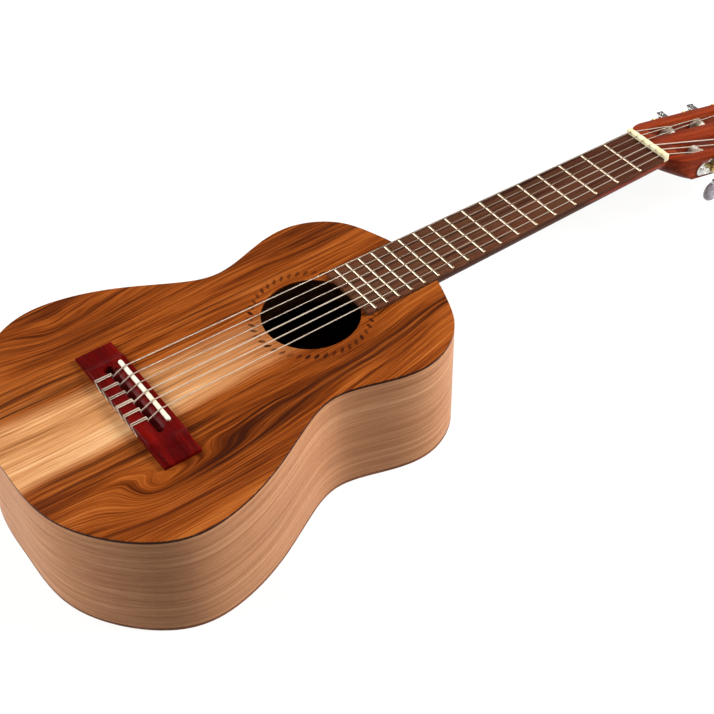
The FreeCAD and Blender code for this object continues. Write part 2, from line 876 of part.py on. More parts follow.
def roller_contact(index):
    """Centre of the string where it meets its roller: the tangent point of the line from the nut."""
    u = roller_places()[string_roller(index)]
    radius = wrap_radius(index)
    start = nut_point(index)
    tilt = math.radians(S.head_tilt)
    rise = start.z - head_face()
    run = start.x - S.nut_width
    nut_u = run * math.cos(tilt) - rise * math.sin(tilt)
    nut_v = run * math.sin(tilt) + rise * math.cos(tilt)
    away_u, away_v = u - nut_u, -S.roller_depth - nut_v
    distance = math.hypot(away_u, away_v)
    slope = math.atan2(away_v, away_u) + math.asin(radius / distance)
    angle = slope + math.pi / 2
    return u, angle, radius


def roller_point(index, angle, radius, y=None):
    u = roller_places()[string_roller(index)]
    place = wrap_place(index) if y is None else y
    return head_point(u + radius * math.cos(angle), string_side(index) * place,
                      -S.roller_depth + radius * math.sin(angle))


def bend(before, corner, after, radius):
    """Start, middle and end of the arc that rounds a corner of a route."""
    into = (corner - before).normalize()
    out = (after - corner).normalize()
    turn = into.getAngle(out)
    setback = radius * math.tan(turn / 2)
    start, end = corner - into * setback, corner + out * setback
    inwards = (out - into).normalize()
    depth = radius / math.cos(turn / 2) - radius
    return start, corner + inwards * depth, end


def route_edges(points, radii):
    """Straight runs joined by tangent arcs, one radius for each inner point."""
    edges = []
    here = points[0]
    for before, corner, after, radius in zip(points, points[1:], points[2:], radii):
        start, middle, end = bend(before, corner, after, radius)
        edges.append(Part.LineSegment(here, start).toShape())
        edges.append(Part.Arc(start, middle, end).toShape())
        here = end
    edges.append(Part.LineSegment(here, points[-1]).toShape())
    return edges


def tube(edges, diameter, name):
    """A round cord along a path, with its volume compared with section times length."""
    path = Part.Wire(edges)
    first = path.Edges[0]
    start = first.valueAt(first.FirstParameter)
    along = first.tangentAt(first.FirstParameter)
    profile = Part.Wire([Part.makeCircle(diameter / 2, start, along)])
    solid = path.makePipeShell([profile], True, False)
    expected = math.pi * diameter ** 2 / 4 * path.Length
    print(name, "length", round(path.Length, 1), "volume share", round(solid.Volume / expected, 4))
    return solid


def knot_points(index):
    """The tie knot, from the tail's end to the saddle.

    The string comes through the block from the channel, up behind it, forward over its top,
    round under itself in the channel, back over the top and down behind the block.
    """
    radius = string_diameter(index) / 2
    y = string_shares()[index] * S.string_span_saddle
    front = bridge_front() - bridge_width() + S.tie_block_width
    back = bridge_front() - bridge_width()
    top = S.body_depth + S.bridge_height + radius + S.string_clearance
    hole = S.body_depth + S.tie_hole_height
    behind = back - radius - S.string_clearance
    before = front + radius + S.string_clearance
    wide = S.knot_half_width
    saddle, bend = saddle_point(index, front, hole)
    slope = (saddle.z - hole) / (saddle.x - front)
    under = hole + (before - front) * slope - 2 * radius - S.string_clearance
    tail_drop = S.bridge_height * TAIL_DROP_SHARE
    points = [
        Vector(behind, y - wide - S.knot_tail, top - tail_drop),
        Vector(behind, y - wide - S.knot_tail / 4, top - tail_drop / 2),
        Vector(behind, y - wide, top),
        Vector(before, y - wide, top),
        Vector(before, y - wide, under),
        Vector(before, y + wide, under),
        Vector(before, y + wide, top),
        Vector(behind, y + wide, top),
        Vector(behind, y, hole),
        Vector(front, y, hole),
        saddle,
    ]
    radii = [S.knot_bend * 2] + [S.knot_bend] * 7 + [2 * S.knot_bend, bend]
    return points, radii


def saddle_top():
    return S.body_depth + S.bridge_height - S.saddle_slot_depth + S.saddle_height


def saddle_point(index, front, hole):
    """Corner and radius of the string's bend round the saddle's back edge."""
    radius = S.saddle_rounding + string_diameter(index) / 2 + S.string_clearance
    height = saddle_top() - S.saddle_rounding + radius
    centre = -S.saddle_distance - S.saddle_thickness / 2 + S.saddle_rounding
    turn = math.atan2(height - hole, centre - front)
    corner = centre - radius * math.tan(turn / 2)
    return Vector(corner, string_shares()[index] * S.string_span_saddle, height), radius


def string_path(index):
    """The whole route: knot, saddle, nut, and most of a turn on the roller."""
    points, radii = knot_points(index)
    u, angle, radius = roller_contact(index)
    contact = roller_point(index, angle, radius)
    points += [nut_point(index), contact]
    edges = route_edges(points, radii + [S.nut_bend])
    middle = roller_point(index, angle - math.radians(S.wrap_angle) / 2, radius)
    end = roller_point(index, angle - math.radians(S.wrap_angle), radius)
    edges.append(Part.Arc(contact, middle, end).toShape())
    return edges


def build_strings():
    for index in range(6):
        name = "string_" + str(index + 1)
        feature(name, tube(string_path(index), string_diameter(index), name))


def build_nut():
    """A blank with round top edges and a groove for each string, sloping to its roller."""
    top = S.body_depth + S.nut_height
    half = S.board_width_nut / 2
    turn = S.nut_rounding
    mid = turn * (1 - math.sqrt(0.5))
    outline = [
        Part.LineSegment(Vector(0, -half, S.body_depth), Vector(0, -half, top - turn)),
        Part.Arc(Vector(0, -half, top - turn), Vector(mid, -half, top - mid), Vector(turn, -half, top)),
        Part.LineSegment(Vector(turn, -half, top), Vector(S.nut_width - turn, -half, top)),
        Part.Arc(Vector(S.nut_width - turn, -half, top), Vector(S.nut_width - mid, -half, top - mid),
                 Vector(S.nut_width, -half, top - turn)),
        Part.LineSegment(Vector(S.nut_width, -half, top - turn), Vector(S.nut_width, -half, S.body_depth)),
        Part.LineSegment(Vector(S.nut_width, -half, S.body_depth), Vector(0, -half, S.body_depth)),
    ]
    wire = Part.Wire([edge.toShape() for edge in outline])
    blank = Part.Face(wire).extrude(Vector(0, 2 * half, 0))
    grooves = []
    for index in range(6):
        points, radii = knot_points(index)
        saddle = points[-1]
        corner = nut_point(index)
        u, angle, radius = roller_contact(index)
        contact = roller_point(index, angle, radius)
        width = string_diameter(index) / 2 + S.groove_clearance
        into = (corner - saddle).normalize() * S.overrun
        out = (contact - corner).normalize() * 3 * S.overrun
        corners = [corner - into, corner, corner + out]
        profile = Part.Wire([Part.makeCircle(width, corners[0], into)])
        edges = route_edges(corners, [S.nut_bend])
        grooves.append(Part.Wire(edges).makePipeShell([profile], True, False))
        for start, end in zip(corners, corners[1:]):
            along = end - start
            sideways = Vector(0, 0, 1).cross(along).normalize() * width
            up = Vector(0, 0, S.nut_height)
            face = Part.Face(Part.makePolygon([start + sideways, start - sideways, start - sideways + up,
                                               start + sideways + up, start + sideways]))
            grooves.append(face.extrude(along))
    feature("nut", blank.cut(grooves))


# Bridge and saddle

def build_bridge():
    """Wings and block in one profile across the body, then the slot, channel, slope and holes."""
    body = new_body("bridge")
    bind(body, "Placement.Base.y", "bridge_offset")
    bind(body, "Placement.Base.z", "body_depth")
    half, block = S.bridge_length / 2, S.bridge_block_length / 2
    wing, top = S.bridge_wing_height, S.bridge_height
    ramp = block + S.bridge_wing_ramp
    sag = wing + (top - wing) * SCOOP_SHARE
    # The YZ plane's sketch runs along Y and Z, so its points are (y, z)
    outline = [
        Part.LineSegment(Vector(-half, 0, 0), Vector(half, 0, 0)),
        Part.LineSegment(Vector(half, 0, 0), Vector(half, wing, 0)),
        Part.LineSegment(Vector(half, wing, 0), Vector(ramp, wing, 0)),
        Part.Arc(Vector(ramp, wing, 0), Vector((ramp + block) / 2, sag, 0), Vector(block, top, 0)),
        Part.LineSegment(Vector(block, top, 0), Vector(-block, top, 0)),
        Part.Arc(Vector(-block, top, 0), Vector(-(ramp + block) / 2, sag, 0), Vector(-ramp, wing, 0)),
        Part.LineSegment(Vector(-ramp, wing, 0), Vector(-half, wing, 0)),
        Part.LineSegment(Vector(-half, wing, 0), Vector(-half, 0, 0)),
    ]
    back_formula = ("-saddle_distance - saddle_thickness / 2 - saddle_land - channel_slope"
                    " - channel_width - tie_block_width")
    sketch = new_sketch(body, "bridge_profile", "YZ_Plane", outline, back_formula)
    new_pad(body, sketch, "bridge_blank",
            "bridge_front_gap + saddle_thickness + saddle_land + channel_slope + channel_width + tie_block_width")
    tie_front = bridge_front() - bridge_width() + S.tie_block_width
    channel = rounded_slot(tie_front, tie_front + S.channel_width, -S.channel_length / 2, S.channel_length / 2)
    sketch = new_sketch(body, "channel_outline", "XY_Plane", channel, "bridge_height")
    new_pocket(body, sketch, "channel", depth="bridge_height - channel_floor")
    middle = -S.saddle_distance
    play = S.running_clearance
    reach = S.saddle_length / 2 + play
    shift = S.saddle_offset - S.bridge_offset
    slot = rounded_slot(middle - S.saddle_thickness / 2 - play, middle + S.saddle_thickness / 2 + play,
                        shift - reach, shift + reach)
    sketch = new_sketch(body, "saddle_slot_outline", "XY_Plane", slot, "bridge_height")
    new_pocket(body, sketch, "saddle_slot", depth="saddle_slot_depth")
    # The XZ plane's sketch runs along X and Z
    edge = tie_front + S.channel_width
    slope = polygon([Vector(edge, top, 0), Vector(edge + S.channel_slope, top, 0),
                     Vector(edge, top - S.channel_slope_depth, 0)])
    sketch = new_sketch(body, "slope_profile", "XZ_Plane", slope)
    new_pocket(body, sketch, "slope", depth="channel_length - channel_width", symmetric=True)
    holes = [circle(share * S.string_span_saddle - S.bridge_offset, S.tie_hole_height, S.tie_hole_diameter / 2)
             for share in string_shares()]
    sketch = new_sketch(body, "tie_holes_outline", "YZ_Plane", holes, back_formula + " + tie_block_width / 2")
    new_pocket(body, sketch, "tie_holes", depth="tie_block_width + channel_width", symmetric=True)
    round_bridge_edges(body)
    place = tie_front + S.channel_width / 2 + S.channel_bore_offset
    bore = circle(place, S.channel_length / 2 - S.channel_bore_inset, S.channel_bore_diameter / 2)
    sketch = new_sketch(body, "channel_bore_outline", "XY_Plane", [bore], "bridge_height")
    bind_circle(sketch, 0, "bore", "channel_bore_diameter")
    new_pocket(body, sketch, "channel_bore", depth="channel_bore_depth")


def round_bridge_edges(body):
    """Round the long top edges of the tie block and of the bridge's two long sides."""
    tip = body.Tip
    names = []
    back = bridge_front() - bridge_width()
    wanted = [back, back + S.tie_block_width, bridge_front()]
    for number, edge in enumerate(tip.Shape.Edges, 1):
        box = edge.BoundBox
        flat = box.ZLength < S.running_clearance and box.XLength < S.running_clearance
        high = abs(box.ZMax - S.bridge_height) < S.running_clearance
        near = any(abs(box.XMax - place) < S.running_clearance for place in wanted)
        if flat and high and near and box.YLength > S.string_span_saddle:
            names.append("Edge" + str(number))
    fillet = body.newObject("PartDesign::Fillet", "bridge_edges")
    fillet.Base = (tip, names)
    bind(fillet, "Radius", "bridge_edge_radius")
    document.recompute()


def build_saddle():
    body = new_body("saddle")
    bind(body, "Placement.Base.y", "saddle_offset")
    bind(body, "Placement.Base.z", "body_depth + bridge_height - saddle_slot_depth")
    half = S.saddle_thickness / 2
    slot = rounded_slot(-S.saddle_distance - half, -S.saddle_distance + half,
                        -S.saddle_length / 2, S.saddle_length / 2)
    sketch = new_sketch(body, "saddle_outline", "XY_Plane", slot)
    pad = new_pad(body, sketch, "saddle_blank", "saddle_height")
    names = ["Edge" + str(number) for number, edge in enumerate(pad.Shape.Edges, 1)
             if abs(edge.BoundBox.ZMin - S.saddle_height) < S.running_clearance]
    fillet = body.newObject("PartDesign::Fillet", "saddle_round")
    fillet.Base = (pad, names)
    bind(fillet, "Radius", "saddle_rounding")
    document.recompute()


# Tuning machines, in the head's frame

def centre_distance():
    """Distance between a gear's axis and its worm's axis."""
    return (S.gear_teeth * S.gear_module + S.worm_pitch_diameter) / 2


def plate_outside():
    return S.head_width / 2 + S.plate_thickness


def worm_line():
    """Distance of the worms' axes from the centre line: the middle of the gears."""
    return plate_outside() + S.gear_stand_off + S.gear_thickness / 2


def head_feature(label, shape):
    """A node drawn in the head's frame."""
    item = document.addObject("Part::Feature", label)
    item.Shape = shape
    place = head_placement()
    place.Base.x += nut_place()
    item.Placement = place.multiply(shape.Placement)
    return keep(item, label)


def side_box(u_low, u_high, y_low, y_high, v_low, v_high, side):
    box = Part.makeBox(u_high - u_low, y_high - y_low, v_high - v_low)
    box.translate(Vector(u_low, side * y_low if side > 0 else -y_high, v_low))
    return box


def build_plate(label, side):
    """A strip with round ends, and a pair of ears for each worm, bent out from raised tabs."""
    inside, outside = S.head_width / 2, plate_outside()
    rollers = roller_places()
    half = S.plate_width / 2
    start, end = rollers[0] - S.plate_before, rollers[-1] + S.plate_after
    solid = side_box(start + half, end - half, inside, outside, -S.plate_drop - half, -S.plate_drop + half, side)
    parts = [across(half, u, -S.plate_drop, inside, outside, side) for u in (start + half, end - half)]
    tools = []
    for u in rollers:
        worm = u + centre_distance()
        low, high = worm - S.ear_width / 2, worm + S.ear_width / 2
        parts.append(side_box(low, high, inside, outside, -S.ear_bottom, 0, side))
        reach = outside + S.ear_reach
        for bottom in (-S.ear_thickness, -S.ear_bottom):
            parts.append(side_box(low, high, inside, reach, bottom, bottom + S.ear_thickness, side))
        hole = S.shaft_diameter / 2 + S.running_clearance
        centre = Vector(worm, side * worm_line(), -S.ear_bottom - S.overrun)
        tools.append(Part.makeCylinder(hole, S.ear_bottom + 2 * S.overrun, centre, Vector(0, 0, 1)))
        bore = S.spindle_diameter / 2 + S.running_clearance
        tools.append(across(bore, u, -S.roller_depth, inside - S.overrun, outside + S.overrun, side))
    for u in plate_screw_places():
        bore = S.plate_screw_shank / 2 + S.running_clearance
        tools.append(across(bore, u, -S.plate_drop, inside - S.overrun, outside + S.overrun, side))
    solid = solid.fuse(parts).cut(tools).removeSplitter()
    head_feature(label, round_ears(solid, side))


def round_ears(solid, side):
    """Round the ears' outer corners."""
    reach = side * (plate_outside() + S.ear_reach)
    edges = []
    for edge in solid.Edges:
        box = edge.BoundBox
        upright = box.ZLength > S.ear_thickness / 2 and box.XLength < S.running_clearance
        if upright and abs(box.YMin - reach) < S.running_clearance and abs(box.YMax - reach) < S.running_clearance:
            edges.append(edge)
    return solid.makeFillet(S.ear_width / 3, edges)


def plate_screw(u, side):
    outside = plate_outside()
    radius, dome = S.plate_screw_diameter / 2, S.plate_screw_dome
    ball = (radius ** 2 + dome ** 2) / (2 * dome)
    centre = Vector(u, side * (outside + dome - ball), -S.plate_drop)
    head = Part.makeSphere(ball, centre).common(across(radius, u, -S.plate_drop, outside, outside + dome, side))
    shank = across(S.plate_screw_shank / 2, u, -S.plate_drop, S.head_width / 2 - S.plate_screw_length, outside, side)
    slot = side_box(u - radius, u + radius, outside + dome - S.screw_slot_depth, outside + dome + S.overrun,
                    -S.plate_drop - S.screw_slot_width / 2, -S.plate_drop + S.screw_slot_width / 2, side)
    return head.cut(slot).fuse(shank)


def build_plate_screws():
    screws = [plate_screw(u, side) for side in (1, -1) for u in plate_screw_places()]
    head_feature("plate_screws", Part.makeCompound(screws))


def tooth_widths():
    """Half widths of a tooth or thread at its tip and at its root."""
    pitch = math.pi * S.gear_module
    middle = S.tooth_share * pitch / 2
    slope = math.tan(math.radians(S.flank_angle))
    return middle - S.tooth_tip_height * slope, middle + S.tooth_root_depth * slope


def gear_solid(u, side):
    """A toothed wheel on a spindle that runs through the roller into the rib."""
    pitch_radius = S.gear_teeth * S.gear_module / 2
    root, tip = pitch_radius - S.tooth_root_depth, pitch_radius + S.tooth_tip_height
    near, far = tooth_widths()
    low = plate_outside() + S.gear_stand_off
    wheel = across(root, 0, 0, low, low + S.gear_thickness, side)
    sunk = root - S.tooth_root_depth
    points = [Vector(sunk, 0, -far), Vector(root, 0, -far), Vector(tip, 0, -near),
              Vector(tip, 0, near), Vector(root, 0, far), Vector(sunk, 0, far)]
    face = Part.Face(Part.makePolygon(points + points[:1]))
    face.translate(Vector(0, side * low, 0))
    tooth = face.extrude(Vector(0, side * S.gear_thickness, 0))
    teeth = []
    for number in range(int(S.gear_teeth)):
        turned = tooth.copy()
        turned.rotate(Vector(0, 0, 0), Vector(0, 1, 0), 360 * number / S.gear_teeth)
        teeth.append(turned)
    inner = slot_walls()[0]
    spindle = across(S.spindle_diameter / 2, 0, 0, inner - S.spindle_seat + S.running_clearance, low, side)
    boss = across(S.gear_boss_diameter / 2, 0, 0, plate_outside() + S.running_clearance, low, side)
    solid = wheel.fuse(teeth + [spindle, boss]).removeSplitter()
    solid.translate(Vector(u, 0, -S.roller_depth))
    return solid


def gear_screw(u, side):
    low = plate_outside() + S.gear_stand_off + S.gear_thickness
    high = low + S.gear_screw_height
    head = across(S.gear_screw_diameter / 2, u, -S.roller_depth, low, high, side)
    slot = side_box(u - S.gear_screw_diameter, u + S.gear_screw_diameter, high - S.screw_slot_depth,
                    high + S.overrun, -S.roller_depth - S.screw_slot_width / 2,
                    -S.roller_depth + S.screw_slot_width / 2, side)
    edges = [edge for edge in head.Edges if abs(abs(edge.BoundBox.YMin) - high) < S.running_clearance]
    return head.makeChamfer(S.screw_slot_depth, edges).cut(slot)


def roller_solid(u, side):
    """The sleeve in the slot and in the wall's bore, with the spindle's hole through it."""
    inner = slot_walls()[0] + S.roller_end_gap
    outer = S.head_width / 2 - S.roller_end_gap
    sleeve = across(S.roller_diameter / 2, u, -S.roller_depth, inner, outer, side)
    bore = across(S.spindle_diameter / 2 + S.running_clearance, u, -S.roller_depth,
                  inner - S.overrun, outer + S.overrun, side)
    return sleeve.cut(bore)


def worm_solid(u, side):
    """A single-start worm between the ears, on a shaft that carries the button."""
    pitch = math.pi * S.gear_module
    pitch_radius = S.worm_pitch_diameter / 2
    root, tip = pitch_radius - S.tooth_root_depth, pitch_radius + S.tooth_tip_height
    near, far = tooth_widths()
    length = S.worm_turns * pitch
    sunk = root - S.tooth_root_depth / 2
    helix = Part.makeHelix(pitch, length, root)
    points = [Vector(sunk, 0, -far), Vector(root, 0, -far), Vector(tip, 0, -near),
              Vector(tip, 0, near), Vector(root, 0, far), Vector(sunk, 0, far)]
    profile = Part.makePolygon(points + points[:1])
    thread = Part.Wire(helix).makePipeShell([profile], True, True)
    thread.translate(Vector(0, 0, -S.worm_turns / 2 * pitch))
    gap = S.wrap_clearance
    low = -S.ear_bottom + S.ear_thickness + gap + S.roller_depth
    high = -S.ear_thickness - gap + S.roller_depth
    core = Part.makeCylinder(root, high - low, Vector(0, 0, low))
    foot = -S.head_thickness - S.button_gap - S.button_bore_depth + S.roller_depth
    shaft = Part.makeCylinder(S.shaft_diameter / 2, S.roller_depth + S.shaft_tip - foot, Vector(0, 0, foot))
    collar_top = -S.head_thickness - S.button_gap + S.roller_depth + S.collar_length
    collar = Part.makeCylinder(S.collar_diameter / 2, S.collar_length,
                               Vector(0, 0, collar_top - S.collar_length))
    solid = thread.fuse([core, shaft, collar]).removeSplitter()
    solid.translate(Vector(u + centre_distance(), side * worm_line(), -S.roller_depth))
    return solid


def button_solid(u, side):
    """An oval button, flat-sided across the head, with a bore for the shaft."""
    top = -S.head_thickness - S.button_gap
    wires = []
    for share, wide, thick in BUTTON_SHARES:
        oval = Part.Ellipse(Vector(0, 0, 0), S.button_width * wide / 2, S.button_thickness * thick / 2)
        wire = Part.Wire([oval.toShape()])
        wire.translate(Vector(0, 0, top - share * S.button_length))
        wires.append(wire)
    solid = Part.makeLoft(wires, True, False)
    bore = Part.makeCylinder(S.shaft_diameter / 2 + S.running_clearance, S.button_bore_depth + S.overrun,
                             Vector(0, 0, top - S.button_bore_depth - S.running_clearance))
    solid = solid.cut(bore)
    solid.translate(Vector(u + centre_distance(), side * worm_line(), 0))
    return solid


# Turns of string on a roller

def biarc(start, start_way, end, end_way):
    """Two tangent arcs between two points with given directions."""
    across_way = end - start
    both = start_way + end_way
    square = 2 * (1 - start_way.dot(end_way))
    linear = across_way.dot(both)
    reach = (-linear + math.sqrt(linear ** 2 + square * across_way.dot(across_way))) / square
    middle = (start + start_way * reach + end - end_way * reach) * 0.5
    return [tangent_arc(start, start_way, middle), tangent_arc(end, -end_way, middle, True)]


def tangent_arc(start, way, end, reverse=False):
    chord = end - start
    ahead = chord.normalize()
    length = (end - start).Length
    aside = way - ahead * way.dot(ahead)
    angle = way.getAngle(ahead)
    middle = (start + end) * 0.5 + aside.normalize() * (length / 2 * math.tan(angle / 2))
    ends = (end, middle, start) if reverse else (start, middle, end)
    return Part.Arc(*ends).toShape()


def turns_path(index):
    """The helix on the roller, and the trimmed end of the string that stands off it."""
    diameter = string_diameter(index)
    radius = (S.roller_diameter + diameter) / 2 + S.turns_clearance
    step = diameter + S.turns_gap
    first = wrap_place(index) - step
    side = string_side(index)
    quarter = math.pi / 2
    count = int(4 * S.turns_count)

    def helix_point(number):
        angle = quarter * (2 - number)
        return Vector(radius * math.cos(angle), side * (first - step * number / 4), radius * math.sin(angle))

    def helix_way(number):
        angle = quarter * (2 - number)
        sideways = -side * step / (2 * math.pi * radius)
        return Vector(math.sin(angle), sideways, -math.cos(angle)).normalize()

    edges = []
    for number in range(count):
        edges += biarc(helix_point(number), helix_way(number), helix_point(number + 1), helix_way(number + 1))
    end = helix_point(count)
    edges.append(Part.LineSegment(end, end + helix_way(count) * S.turns_tail * diameter).toShape())
    begin = helix_point(0)
    edges.insert(0, Part.LineSegment(begin - helix_way(0) * diameter, begin).toShape())
    return edges


def least_gap(edges, diameter):
    """Least gap of a tube to itself, on points a little over a diameter apart along it."""
    path = Part.Wire(edges)
    points = path.discretize(Distance=diameter / 4)
    skip = 12
    gaps = [points[i].distanceToPoint(points[j]) for i in range(len(points)) for j in range(i + skip, len(points))]
    return min(gaps) - diameter


def build_turns(index):
    name = "string_turns_" + str(index + 1)
    edges = turns_path(index)
    diameter = string_diameter(index)
    solid = tube(edges, diameter, name)
    print(name, "least gap to itself", round(least_gap(edges, diameter), 2))
    u = roller_places()[string_roller(index)]
    solid.translate(Vector(u, 0, -S.roller_depth))
    head_feature(name, solid)


def build_tuners():
    for index in range(6):
        number = str(index + 1)
        side = string_side(index)
        u = roller_places()[string_roller(index)]
        head_feature("button_" + number, button_solid(u, side))
        head_feature("worm_" + number, worm_solid(u, side))
        head_feature("gear_" + number, Part.makeCompound([gear_solid(u, side), gear_screw(u, side)]))
        head_feature("roller_" + number, roller_solid(u, side))
        build_turns(index)


build_soundboard()
build_rosette()
build_back()
build_side("bass_side", 1)
build_side("treble_side", -1)
build_blocks()
build_linings()
build_cross_braces()
build_fan_braces()
build_back_bracing()
build_neck()
build_fingerboard()
build_frets()
build_bridge()
build_saddle()
build_nut()
build_strings()
build_plate("bass_tuner_plate", 1)
build_plate("treble_tuner_plate", -1)
build_plate_screws()
build_tuners()
document.recompute()

for item in document.Objects:
    if "Invalid" in item.State or "Error" in item.State:
        raise RuntimeError(item.Name + " is in state " + str(item.State))
for node in NODES:
    if node.Shape.isNull() or not node.Shape.isValid():
        raise RuntimeError(node.Label + " has no valid shape")
os.makedirs("parts", exist_ok=True)
for node in NODES:
    node.Shape.exportStep(os.path.join("parts", node.Label + ".step"))
print(len(NODES), "nodes written")
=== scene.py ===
"""A guitalele on a pale studio floor: finishes, finer pieces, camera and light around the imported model.

Every length is in millimetres until it reaches Blender, which works in metres. The row frame has +X along
the neck towards the head, +Y to the bass side and +Z up out of the soundboard.
"""

import json
import logging
import math
from collections.abc import Iterable, Sequence
from dataclasses import dataclass
from enum import Enum

import bpy
from mathutils import Matrix, Vector

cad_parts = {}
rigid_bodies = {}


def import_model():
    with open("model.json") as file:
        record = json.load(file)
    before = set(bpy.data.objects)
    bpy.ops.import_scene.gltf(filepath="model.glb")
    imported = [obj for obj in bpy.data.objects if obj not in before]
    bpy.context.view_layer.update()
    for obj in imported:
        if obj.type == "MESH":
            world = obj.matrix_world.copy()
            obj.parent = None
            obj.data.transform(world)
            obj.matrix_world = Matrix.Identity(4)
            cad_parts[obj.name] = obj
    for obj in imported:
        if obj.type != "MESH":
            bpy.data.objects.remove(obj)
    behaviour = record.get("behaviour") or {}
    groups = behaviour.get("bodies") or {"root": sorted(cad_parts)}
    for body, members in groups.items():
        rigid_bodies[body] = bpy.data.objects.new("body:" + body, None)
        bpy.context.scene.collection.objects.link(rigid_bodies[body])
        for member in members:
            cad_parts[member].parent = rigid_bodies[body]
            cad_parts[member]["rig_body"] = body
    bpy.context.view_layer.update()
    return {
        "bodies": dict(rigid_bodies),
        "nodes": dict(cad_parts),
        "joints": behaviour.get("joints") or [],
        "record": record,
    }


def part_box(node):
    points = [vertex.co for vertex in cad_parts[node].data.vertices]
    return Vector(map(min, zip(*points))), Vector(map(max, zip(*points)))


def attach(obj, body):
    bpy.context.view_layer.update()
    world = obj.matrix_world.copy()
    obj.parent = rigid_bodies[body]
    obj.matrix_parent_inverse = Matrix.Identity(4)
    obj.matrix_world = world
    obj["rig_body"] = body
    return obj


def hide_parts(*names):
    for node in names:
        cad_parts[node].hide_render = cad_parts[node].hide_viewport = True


log = logging.getLogger("guitalele")

MM = 0.001
Socket = bpy.types.NodeSocket
Source = Socket | float | Sequence[float]
Colour = tuple[float, float, float, float]
Stops = tuple[tuple[float, int, int, int], ...]
Look = tuple[Socket, Socket]


def tint(red: int, green: int, blue: int) -> Colour:
    """A colour as a painter reads it, from 0 to 255, as the linear values and the alpha that shaders take."""
    linear = []
    for value in (red, green, blue):
        share = value / 255
        linear.append(share / 12.92 if share <= 0.04045 else ((share + 0.055) / 1.055) ** 2.4)
    return (linear[0], linear[1], linear[2], 1.0)


